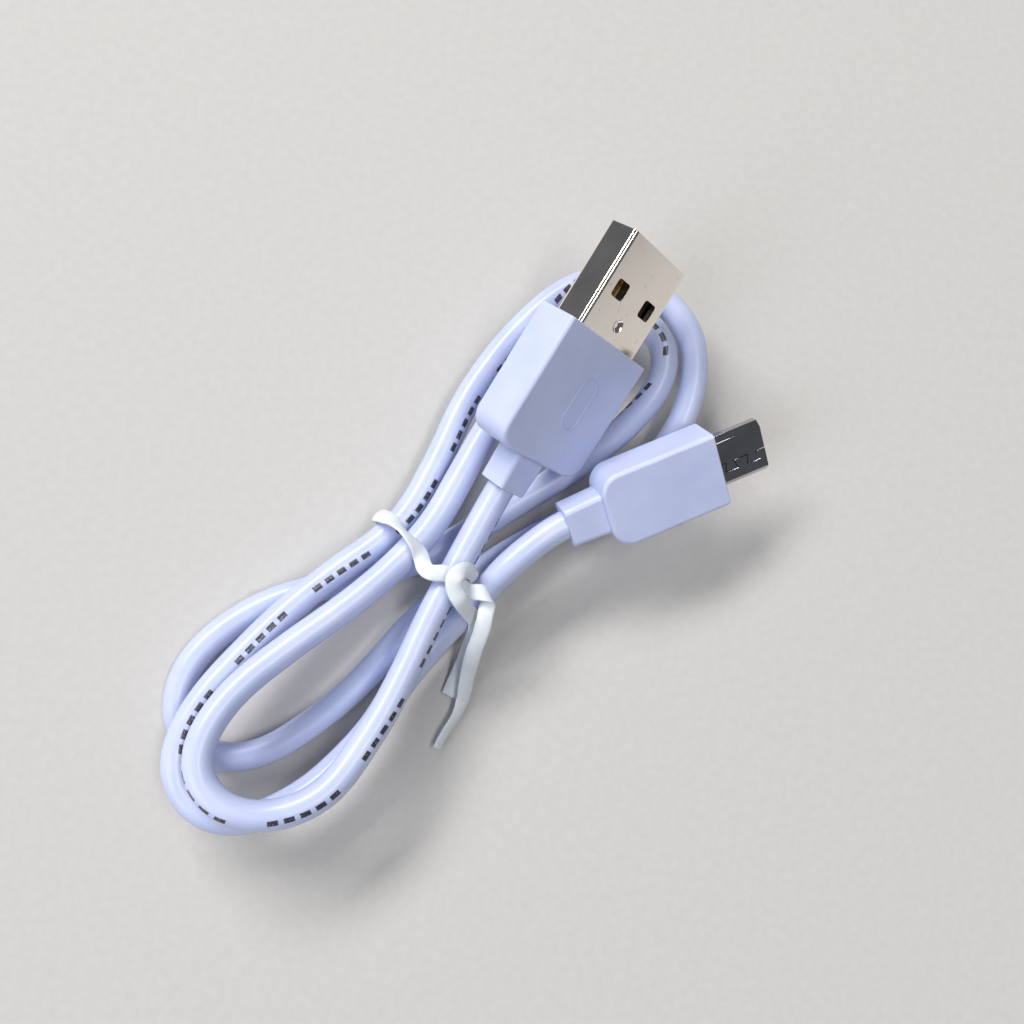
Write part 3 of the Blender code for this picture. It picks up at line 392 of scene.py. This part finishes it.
def pvc(name, grain, roughness):
    """Soft white PVC with a lavender cast: faint clouding, a fine moulded grain and a few specks of dust."""
    n = Nodes(name, Subsurface_Weight=0.12, Subsurface_Scale=0.0012, Specular_IOR_Level=0.45)
    clouds = n.noise(n.place(each_way(180)))
    base = n.blend(n.between(clouds, 0.35, 0.65, 0, 1), PVC_SHADE, PVC_COLOUR)
    specks = n.noise(n.place(each_way(1900)), detail=1.0)
    mask = n.between(specks, 0.80, 0.84, 0, 0.35)
    n.link(n.blend(mask, base, DUST), "Base Color")
    fine = n.noise(n.place(each_way(5200)), detail=2.0)
    n.link(n.between(fine, 0.3, 0.7, roughness - 0.04, roughness + 0.06), "Roughness")
    n.bump(fine, grain)
    return n


def jacket_material():
    """The cable's jacket: as the grips, extruded, with groups of plain dark dashes printed along it."""
    n = pvc("cable_jacket_pvc", 0.000004, 0.30)
    uv = n.add("ShaderNodeUVMap", uv_map="along")
    parts = n.add("ShaderNodeSeparateXYZ", {"Vector": uv.outputs["UV"]})
    along, around = parts.outputs["X"], parts.outputs["Y"]
    offset = n.math("ABSOLUTE", n.math("SUBTRACT", around, 0.5))
    reach = DASH_HEIGHT / 2 / (2 * math.pi * CABLE_RADIUS / MM)
    in_height = n.between(offset, reach - DASH_SOFT_AROUND, reach + DASH_SOFT_AROUND, 1, 0)
    within_dash = n.math("MULTIPLY", n.math("FRACT", n.math("DIVIDE", along, DASH_PITCH)), DASH_PITCH)
    middle = n.math("ABSOLUTE", n.math("SUBTRACT", within_dash, DASH_PITCH / 2))
    in_dash = n.between(middle, DASH_LENGTH / 2 - DASH_SOFT_ALONG, DASH_LENGTH / 2 + DASH_SOFT_ALONG, 1, 0)
    within_group = n.math("MULTIPLY", n.math("FRACT", n.math("DIVIDE", along, GROUP_PITCH)), GROUP_PITCH)
    in_group = n.math("LESS_THAN", within_group, GROUP_LENGTH)
    wear = n.between(n.noise(n.place(each_way(3800)), detail=2.0), 0.25, 0.45, 0.55, 1)
    mask = n.math("MULTIPLY", n.math("MULTIPLY", in_height, in_dash), n.math("MULTIPLY", in_group, wear))
    base = n.shader.inputs["Base Color"].links[0].from_socket
    n.link(n.blend(mask, base, INK), "Base Color")
    return n.material


def metal(name, colour, shade, roughness, brushed, spots):
    """Plated sheet metal: faint clouding, fine drawn lines along the plug and small spots of handling."""
    n = Nodes(name, Metallic=1.0)
    clouds = n.noise(n.place(each_way(260)), detail=5.0, roughness=0.6)
    marks = n.between(n.noise(n.place(each_way(1500)), detail=4.0, roughness=0.7), 0.62, 0.72, 0, spots)
    tone = n.blend(n.between(clouds, 0.3, 0.7, 0, 1), shade, colour)
    dull = tuple(0.6 * channel for channel in colour[:3]) + (1,)
    n.link(n.blend(marks, tone, dull), "Base Color")
    lines = n.noise(n.place((120, 9000, 9000)), detail=2.0)
    sheen = n.between(clouds, 0.3, 0.7, roughness * 0.8, roughness * 1.3)
    n.link(n.math("ADD", sheen, n.math("MULTIPLY", marks, 0.2)), "Roughness")
    n.bump(lines, brushed)
    return n.material


def simple(name, colour, roughness, grain=0.000004, metallic=0.0):
    """An even finish with a fine grain and a slight change of tone."""
    n = Nodes(name, Metallic=metallic)
    fine = n.noise(n.place(each_way(2500)))
    darker = tuple(0.8 * channel for channel in colour[:3]) + (1,)
    n.link(n.blend(n.between(fine, 0.3, 0.7, 0, 1), darker, colour), "Base Color")
    n.link(n.between(fine, 0.3, 0.7, roughness * 0.85, roughness * 1.15), "Roughness")
    n.bump(fine, grain)
    return n.material


def tie_material():
    """The tie's soft white strip: slightly see-through, wrinkled across where it has been twisted."""
    n = Nodes("tie_strip", Subsurface_Weight=0.2, Subsurface_Scale=0.0008, Specular_IOR_Level=0.4)
    clouds = n.noise(n.place(each_way(420)))
    tone = n.between(clouds, 0.3, 0.7, 0, 1)
    n.link(n.blend(tone, TIE_SHADE, TIE_COLOUR), "Base Color")
    uv = n.add("ShaderNodeUVMap", uv_map="along")
    stretched = n.add("ShaderNodeMapping", {"Vector": uv.outputs["UV"], "Scale": (2.6, 3.0, 1.0)})
    wrinkles = n.noise(stretched.outputs[0], detail=3.0)
    n.link(n.between(wrinkles, 0.3, 0.7, 0.36, 0.5), "Roughness")
    n.bump(wrinkles, 0.00004)
    return n.material


JACKET = jacket_material()
GRIP_PVC = pvc("grip_pvc", 0.000006, 0.34).material
A_STEEL = metal("usb_a_nickel", (1.0, 0.94, 0.87, 1), (0.95, 0.88, 0.81, 1), 0.11, 0.0000003, 0.45)
B_STEEL = metal("micro_b_nickel", (0.56, 0.56, 0.57, 1), (0.46, 0.46, 0.47, 1), 0.08, 0.0000003, 0.30)
GOLD = simple("gold_plate", (0.95, 0.66, 0.22, 1), 0.22, 0.000001, 1.0)
COPPER = simple("copper", (0.80, 0.42, 0.25, 1), 0.35, 0.000003, 1.0)
IRON = simple("soft_iron", (0.42, 0.41, 0.40, 1), 0.45, 0.000003, 1.0)
BLACK = simple("black_nylon", (0.012, 0.012, 0.013, 1), 0.42)
RED = simple("red_insulation", (0.55, 0.02, 0.015, 1), 0.40)
NATURAL = simple("natural_polyethylene", (0.74, 0.72, 0.66, 1), 0.50)
TIE_STRIP = tie_material()


# ---------------------------------------------------------------- the cable

def on_axis(matrix, x):
    return tuple(matrix @ Vector((x, 0, 0)))


def cable():
    """The jacket's piece and its centre line. The fourth number of a row is the printed line's turn.

    A ring's first point is a quarter turn before the across direction, so the print lies half a turn on."""
    turns = np.interp(np.arange(len(ROUTE)), *zip(*PRINT_TURNS))
    rows = [(*place, turn) for place, turn in zip(ROUTE, turns)]
    rows = [(*on_axis(USB_A, A_NECK_REAR - NECK_STRAIGHT), turns[0])] + rows
    rows += [(*on_axis(MICRO_B, B_NECK_REAR - NECK_STRAIGHT), turns[-1])]
    free_part = catmull_rom(rows)
    whole = np.vstack([(*on_axis(USB_A, -CABLE_END_INSIDE), turns[0]), free_part,
                       (*on_axis(MICRO_B, -CABLE_END_INSIDE), turns[-1])])
    rows = faired(even_steps(whole, CABLE_RING_STEP), CABLE_FAIRING)
    path, turn = rows[:, :3], np.radians(rows[:, 3])
    along = tangents(path)
    skyward = unit(np.array([0, 0, 1.0]) - along * along[:, 2:])
    sideways = np.cross(along, skyward)
    up = skyward * np.cos(turn)[:, None] + sideways * np.sin(turn)[:, None]
    across = np.cross(along, up)
    angles = 2 * np.pi * (np.arange(CABLE_SIDES) / CABLE_SIDES - 0.25)
    lay = 2 * np.pi * np.arange(len(path)) * CABLE_RING_STEP / CABLE_LAY
    oval = np.cos(2 * (angles - lay[:, None]))
    radius = CABLE_RADIUS * (1 - CABLE_OVALNESS + CABLE_OVALNESS * oval)
    profiles = np.dstack([radius * np.cos(angles), radius * np.sin(angles)])
    mesh = strip_mesh("lead_cable", path, across, up, profiles)
    piece = add_piece("lead_cable", mesh, Matrix.Identity(4), JACKET, ["cable_jacket"])
    return piece, path


lead_cable, cable_path = cable()


# ---------------------------------------------------------------- the twist tie

def twist_tie():
    rows = catmull_rom([(*place, *unit(np.array(facing, float))) for place, facing in TIE_ROUTE])
    rows = faired(even_steps(rows, TIE_RING_STEP), TIE_FAIRING)
    path = rows[:, :3]
    along = tangents(path)
    facing = rows[:, 3:]
    up = unit(facing - along * np.sum(facing * along, axis=1, keepdims=True))
    across = np.cross(along, up)
    angles = 2 * np.pi * (np.arange(TIE_SIDES) + 0.5) / TIE_SIDES
    x = np.sign(np.cos(angles)) * np.abs(np.cos(angles)) ** TIE_WIDTH_POWER
    y = np.sign(np.sin(angles)) * np.abs(np.sin(angles)) ** TIE_HEIGHT_POWER
    thickness = TIE_EDGE + (TIE_HALF_THICKNESS - TIE_EDGE) * np.cos(x * np.pi / 2) ** 2
    section = np.column_stack([x * TIE_HALF_WIDTH, y * thickness])
    distance = np.arange(len(path)) * TIE_RING_STEP
    short_wave, long_wave = [np.sin(distance * 2 * np.pi / wave) for wave in TIE_WAVES]
    swell = 1 - TIE_WAVER * (0.5 + 0.5 * short_wave * long_wave)
    profiles = section[None] * swell[:, None, None]
    mesh = strip_mesh("tie_strip", path, across, up, profiles)
    add_piece("tie_strip", mesh, Matrix.Identity(4), TIE_STRIP, ["twist_tie_cover"])


twist_tie()


# ---------------------------------------------------------------- plugs

def at_corner(corners, i):
    """A corner's place, the directions to the ones before and after it, and half the angle between those."""
    here = Vector(corners[i][:2])
    before = (Vector(corners[i - 1][:2]) - here).normalized()
    after = (Vector(corners[(i + 1) % len(corners)][:2]) - here).normalized()
    return here, before, after, before.angle(after) / 2


def corner_arcs(corners):
    """The outline of a polygon with rounded corners: each is (y, z, radius, segments), in order round it."""
    outline = []
    for i, (_, _, radius, segments) in enumerate(corners):
        here, before, after, half_angle = at_corner(corners, i)
        centre = here + (before + after).normalized() * radius / math.sin(half_angle)
        start = here + before * radius / math.tan(half_angle) - centre
        sweep = math.pi - 2 * half_angle
        if before.x * after.y - before.y * after.x > 0:
            sweep = -sweep
        for step in range(segments + 1):
            turn = sweep * step / segments
            outline.append(centre + Vector((start.x * math.cos(turn) - start.y * math.sin(turn),
                                            start.x * math.sin(turn) + start.y * math.cos(turn))))
    return outline


def rectangle(half_width, half_height, radius, segments=6):
    return corner_arcs([(y * half_width, z * half_height, radius, segments) for y, z in SQUARE_CORNERS])


def ellipse(half_width, half_height, segments):
    return [(half_width * math.cos(angle), half_height * math.sin(angle))
            for angle in np.linspace(0, 2 * math.pi, segments, endpoint=False)]


def prism(bm, loops, closed_ends=True):
    """Skins outlines at their x positions: each loop is (x, outline of the same number of points)."""
    rings = [[bm.verts.new((x, p[0], p[1])) for p in outline] for x, outline in loops]
    count = len(rings[0])
    pairs = list(zip(rings, rings[1:]))
    if not closed_ends:
        pairs.append((rings[-1], rings[0]))
    for a, b in pairs:
        for i in range(count):
            j = (i + 1) % count
            bm.faces.new((a[i], a[j], b[j], b[i]))
    if closed_ends:
        bm.faces.new(rings[0][::-1])
        bm.faces.new(rings[-1])
    bmesh.ops.recalc_face_normals(bm, faces=bm.faces)


def mesh_of(name, build):
    bm = bmesh.new()
    build(bm)
    mesh = bpy.data.meshes.new(name)
    bm.to_mesh(mesh)
    bm.free()
    return mesh


def box(bm, low, high):
    low, high = Vector(low), Vector(high)
    for vert in bmesh.ops.create_cube(bm, size=1.0)["verts"]:
        vert.co = (low + high) / 2 + Vector(a * b for a, b in zip(vert.co, high - low))


def bevel_edges(bm, wanted, width, segments):
    """Rounds the sharp edges that the test picks by their direction and middle."""
    picked = []
    for edge in bm.edges:
        along = (edge.verts[1].co - edge.verts[0].co).normalized()
        middle = (edge.verts[0].co + edge.verts[1].co) / 2
        if len(edge.link_faces) == 2 and edge.calc_face_angle(0.0) > 0.7 and wanted(along, middle):
            picked.append(edge)
    bmesh.ops.bevel(bm, geom=picked, offset=width, segments=segments, profile=0.5, affect="EDGES",
                    clamp_overlap=True)


def carved(name, mesh, steps, soften=0.0):
    """The mesh after cuts and joins with other meshes, with its sharp edges softened if asked."""
    work = bpy.data.objects.new(name, mesh)
    bpy.context.scene.collection.objects.link(work)
    helpers = []
    for operation, other in steps:
        helper = bpy.data.objects.new(name + "_helper", other)
        bpy.context.scene.collection.objects.link(helper)
        helpers.append(helper)
        step = work.modifiers.new(operation, "BOOLEAN")
        step.operation = operation
        step.object = helper
        step.solver = "EXACT"
    if soften:
        edge = work.modifiers.new("edges", "BEVEL")
        edge.width = soften
        edge.segments = 2
        edge.limit_method = "ANGLE"
        edge.angle_limit = math.radians(SHELL_SHARP_ANGLE)
    bpy.context.view_layer.update()
    result = bpy.data.meshes.new_from_object(work.evaluated_get(bpy.context.evaluated_depsgraph_get()))
    for used in [work] + helpers:
        bpy.data.objects.remove(used, do_unlink=True)
    result.name = name
    return result


def weighted(piece, sharp=SHARP_ANGLE):
    """Smooth shading whose flats stay flat beside their rounded edges."""
    piece.data.shade_smooth()
    piece.data.set_sharp_from_angle(angle=math.radians(sharp))
    step = piece.modifiers.new("normals", "WEIGHTED_NORMAL")
    step.keep_sharp = True
    step.weight = 100


# Grips

def grip(name, matrix, half_width, half_height, rear, neck, slot_outline, replaced):
    """A grip with its neck: softly rounded behind, crisp in front, with a slot for the shell."""
    def body(bm):
        box(bm, (rear, -half_width, -half_height), (0, half_width, half_height))
        bevel_edges(bm, lambda along, middle: abs(along.z) > 0.99 and middle.x < rear / 2, GRIP_CORNER, 10)
        bevel_edges(bm, lambda along, middle: abs(along.z) < 0.5 and abs(middle.x) > 0.0001, GRIP_EDGE, 5)
        bevel_edges(bm, lambda along, middle: abs(middle.x) < 0.00001, GRIP_FRONT_EDGE, 3)

    neck_rear, neck_half_width, neck_half_height = neck

    def neck_block(bm):
        inside = rear + GRIP_EDGE + MM / 2
        end_width = neck_half_width * NECK_END_SHARE
        end = rectangle(end_width, neck_half_height, NECK_CORNER, 5)
        small_end = rectangle(end_width - NECK_CHAMFER, neck_half_height - NECK_CHAMFER, NECK_END_CORNER, 5)
        root = rectangle(neck_half_width * NECK_ROOT_SHARE, neck_half_height, NECK_CORNER, 5)
        prism(bm, [(neck_rear, small_end), (neck_rear + NECK_CHAMFER, end), (rear, root), (inside, root)])

    def slot(bm):
        prism(bm, [(SLOT_REAR, slot_outline), (MM, slot_outline)])

    def bore(bm):
        ring = ellipse(CABLE_RADIUS + FIT, CABLE_RADIUS + FIT, 32)
        prism(bm, [(neck_rear - MM, ring), (rear + BORE_DEPTH, ring)])

    mesh = carved(name, mesh_of(name, body), [("UNION", mesh_of("neck", neck_block)),
                                              ("DIFFERENCE", mesh_of("slot", slot)),
                                              ("DIFFERENCE", mesh_of("bore", bore))])
    piece = add_piece(name, mesh, matrix, GRIP_PVC, replaced)
    weighted(piece)
    return piece


a_slot = rectangle(A_SHELL_HALF_WIDTH + FIT, A_SHELL_HALF_HEIGHT + FIT, A_SHELL_CORNER)
grip("usb_a_grip", USB_A, A_BODY_HALF_WIDTH, A_BODY_HALF_HEIGHT, A_BODY_REAR,
     (A_NECK_REAR, A_NECK_HALF_WIDTH, A_NECK_HALF_HEIGHT), a_slot, ["usb_a_overmould"])


def grip_mark():
    """A plain raised oval line on the USB-A grip's upper face."""
    radius = MARK_WIDTH / 2
    straight = MARK_LENGTH - MARK_WIDTH
    places = []
    for side, start in ((1, 0), (-1, math.pi)):
        for angle in np.linspace(-math.pi / 2, math.pi / 2, 17):
            places.append((MARK_X + side * straight / 2 + radius * math.cos(angle + start),
                           MARK_Y + radius * math.sin(angle + start)))
    section = ellipse(MARK_LINE_HALF_WIDTH, MARK_LINE_HEIGHT, 10)

    def build(bm):
        rings = []
        for i, (x, y) in enumerate(places):
            ahead, behind = places[(i + 1) % len(places)], places[i - 1]
            along = Vector((ahead[0] - behind[0], ahead[1] - behind[1], 0)).normalized()
            outward = Vector((along.y, -along.x, 0))
            middle = Vector((x, y, A_BODY_HALF_HEIGHT))
            rings.append([bm.verts.new(middle + outward * a + Vector((0, 0, b))) for a, b in section])
        for ring, following in zip(rings, rings[1:] + rings[:1]):
            for j in range(len(section)):
                k = (j + 1) % len(section)
                bm.faces.new((ring[j], ring[k], following[k], following[j]))
        bmesh.ops.recalc_face_normals(bm, faces=bm.faces)

    mesh = mesh_of("usb_a_grip_mark", build)
    mesh.shade_smooth()
    add_piece("usb_a_grip_mark", mesh, USB_A, GRIP_PVC)


grip_mark()


# Shells

def shell_rings(corners, wall, rear, front):
    """Outer and inner outlines of a folded shell, with a slightly rounded lip. Corners as in corner_arcs."""
    def inset(by):
        moved = []
        for i, (_, _, radius, segments) in enumerate(corners):
            here, before, after, half_angle = at_corner(corners, i)
            inward = here + (before + after).normalized() * by / math.sin(half_angle)
            moved.append((inward.x, inward.y, max(radius - by, LEAST_CORNER), segments))
        return corner_arcs(moved)

    outside = [(rear, inset(0)), (front - LIP, inset(0)), (front - LIP * 0.3, inset(LIP * 0.3)),
               (front, inset(LIP))]
    inside = [(front, inset(wall - LIP)), (front - LIP * 0.3, inset(wall - LIP * 0.3)),
              (front - LIP, inset(wall)), (rear, inset(wall))]
    return outside + inside


def round_cutter(bm, x, y, z_low, z_high, length, width, radius):
    """An upright block with rounded corners, for a window."""
    outline = corner_arcs([(x + along * length / 2, y + across * width / 2, radius, 5)
                           for along, across in SQUARE_CORNERS])
    low = [bm.verts.new((p[0], p[1], z_low)) for p in outline]
    high = [bm.verts.new((p[0], p[1], z_high)) for p in outline]
    for i in range(len(outline)):
        j = (i + 1) % len(outline)
        bm.faces.new((low[i], low[j], high[j], high[i]))
    bm.faces.new(low[::-1])
    bm.faces.new(high)
    bmesh.ops.recalc_face_normals(bm, faces=bm.faces)


def usb_a_shell():
    h = A_SHELL_HALF_HEIGHT
    corners = [(y * A_SHELL_HALF_WIDTH, z * h, A_SHELL_CORNER, 8) for y, z in SQUARE_CORNERS]
    rings = shell_rings(corners, A_SHELL_WALL, A_SHELL_REAR, A_SHELL_FRONT)
    tube = mesh_of("usb_a_shell_metal", lambda bm: prism(bm, rings, False))
    ball_radius = (A_DIMPLE_RADIUS ** 2 + A_DIMPLE_DEPTH ** 2) / (2 * A_DIMPLE_DEPTH)

    def boss(bm):
        bmesh.ops.create_cone(bm, cap_ends=True, segments=32, radius1=A_DIMPLE_RADIUS,
                              radius2=A_DIMPLE_RADIUS, depth=A_SHELL_WALL)
        bmesh.ops.translate(bm, verts=bm.verts, vec=(A_DIMPLE_X, 0, h - A_DIMPLE_DEPTH - A_SHELL_WALL / 2))

    def ball(bm):
        bmesh.ops.create_uvsphere(bm, u_segments=48, v_segments=48, radius=ball_radius)
        bmesh.ops.translate(bm, verts=bm.verts, vec=(A_DIMPLE_X, 0, h - A_DIMPLE_DEPTH + ball_radius))

    def windows(bm):
        for side in (-1, 1):
            round_cutter(bm, A_WINDOW_X, side * A_WINDOW_Y, -2 * h, 2 * h,
                         A_WINDOW_LENGTH, A_WINDOW_WIDTH, A_WINDOW_CORNER)

    def seam(bm):
        box(bm, (A_SHELL_REAR - MM, -A_SEAM_GAP / 2, -2 * h),
            (A_SHELL_FRONT + MM, A_SEAM_GAP / 2, -h + 2 * A_SHELL_WALL))

    steps = [("UNION", mesh_of("boss", boss)), ("DIFFERENCE", mesh_of("ball", ball)),
             ("DIFFERENCE", mesh_of("windows", windows)), ("DIFFERENCE", mesh_of("seam", seam))]
    mesh = carved("usb_a_shell_metal", tube, steps, A_SOFTENED)
    piece = add_piece("usb_a_shell_metal", mesh, USB_A, A_STEEL, ["usb_a_shell"])
    weighted(piece, SHELL_SHARP_ANGLE)


usb_a_shell()


def bevelled_corners(w, h):
    """The Micro-B outline: bevels at the upper corners, square lower ones."""
    places = [(w, h - B_BEVEL), (w - B_BEVEL, h), (-w + B_BEVEL, h), (-w, h - B_BEVEL), (-w, -h), (w, -h)]
    return [(y, z, B_CORNER if z > 0 else B_SQUARE_CORNER, 4) for y, z in places]


def micro_b_shell():
    h = B_SHELL_HALF_HEIGHT
    corners = bevelled_corners(B_SHELL_HALF_WIDTH, h)
    rings = shell_rings(corners, B_SHELL_WALL, B_SHELL_REAR, B_SHELL_FRONT)
    tube = mesh_of("micro_b_shell_metal", lambda bm: prism(bm, rings, False))

    def latch_windows(bm):
        for side in (-1, 1):
            round_cutter(bm, B_HOOK_X, side * B_LATCH_Y, -2 * h, -h + 2 * B_SHELL_WALL,
                         B_LATCH_WINDOW_LENGTH, B_LATCH_WINDOW_WIDTH, B_LATCH_WINDOW_CORNER)

    def seam(bm):
        """A dovetailed slit through the bevelled face."""
        swing = SEAM_HALF_SWING
        line = [(B_SHELL_REAR - MM, SEAM_Y + swing)]
        for turn in SEAM_TURNS:
            line += [(turn + SEAM_SLANT, SEAM_Y + swing), (turn - SEAM_SLANT, SEAM_Y - swing)]
            swing = -swing
        line.append((B_SHELL_FRONT + MM, SEAM_Y + swing))
        low, high = [[bm.verts.new((x, y, z)) for x, y in line] for z in (h - 2 * B_SHELL_WALL, 2 * h)]
        faces = [bm.faces.new((low[i], low[i + 1], high[i + 1], high[i])) for i in range(len(line) - 1)]
        bmesh.ops.recalc_face_normals(bm, faces=bm.faces)
        bmesh.ops.solidify(bm, geom=faces, thickness=SEAM_GAP)
        bmesh.ops.recalc_face_normals(bm, faces=bm.faces)

    steps = [("DIFFERENCE", mesh_of("latch_windows", latch_windows)), ("DIFFERENCE", mesh_of("seam", seam))]
    mesh = carved("micro_b_shell_metal", tube, steps, B_SOFTENED)
    piece = add_piece("micro_b_shell_metal", mesh, MICRO_B, B_STEEL, ["micro_b_shell"])
    weighted(piece, SHELL_SHARP_ANGLE)
    return piece


b_shell = micro_b_shell()
b_slot = corner_arcs(bevelled_corners(B_SHELL_HALF_WIDTH + FIT, B_SHELL_HALF_HEIGHT + FIT))
b_grip = grip("micro_b_grip", MICRO_B, B_BODY_HALF_WIDTH, B_BODY_HALF_HEIGHT, B_BODY_REAR,
              (B_NECK_REAR, B_NECK_HALF_WIDTH, B_NECK_HALF_HEIGHT), b_slot, ["micro_b_overmould"])


# ---------------------------------------------------------------- finishes of the CAD nodes that stay

NODE_FINISHES = {
    "usb_a_tongue": BLACK, "micro_b_insulator": BLACK,
    "wire_black_insulation": BLACK, "wire_red_insulation": RED,
    "wire_red_core": COPPER, "wire_black_core": COPPER,
    "usb_a_premould": NATURAL, "micro_b_premould": NATURAL,
    "twist_tie_wire": IRON, "micro_b_latch_left": B_STEEL, "micro_b_latch_right": B_STEEL,
}
for node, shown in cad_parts.items():
    finish = GOLD if "_contact_" in node else NODE_FINISHES.get(node)
    if finish:
        for material_slot in shown.material_slots:
            material_slot.material = finish


# ---------------------------------------------------------------- floor and light

def floor():
    mesh = mesh_of("floor", lambda bm: bmesh.ops.create_grid(bm, x_segments=1, y_segments=1,
                                                             size=FLOOR_HALF_SIZE))
    plane = bpy.data.objects.new("floor", mesh)
    plane.location.z = -FLOOR_DROP
    bpy.context.scene.collection.objects.link(plane)
    n = Nodes("floor_paper", Roughness=0.75)
    fibres = n.noise(n.place(each_way(900)), detail=4.0)
    tone = n.between(fibres, 0.3, 0.7, 0, 1)
    n.link(n.blend(tone, PAPER_SHADE, PAPER), "Base Color")
    n.bump(fibres, 0.00001)
    mesh.materials.append(n.material)


def area_light(name, place, size, energy, colour):
    """A rectangular light that faces the origin."""
    light = bpy.data.lights.new(name, "AREA")
    light.shape = "RECTANGLE"
    light.size, light.size_y = size
    light.energy = energy
    light.color = colour
    holder = bpy.data.objects.new(name, light)
    bpy.context.scene.collection.objects.link(holder)
    holder.location = place
    holder.rotation_euler = (-Vector(place)).to_track_quat("-Z", "Y").to_euler()


floor()
area_light("overhead_back", (0.20, 1.30, 1.15), (1.30, 0.36), 31.0, WARM)
area_light("overhead_front", (0.22, -0.40, 1.85), (1.30, 0.30), 14.0, WARM)
area_light("side", (-1.20, 0.35, 1.00), (0.80, 1.10), 9.0, COOL)
world = bpy.data.worlds.new("studio")
world.use_nodes = True
background = world.node_tree.nodes["Background"]
background.inputs["Color"].default_value = SKY
background.inputs["Strength"].default_value = SKY_STRENGTH
bpy.context.scene.world = world
bpy.context.scene.view_settings.view_transform = "Standard"
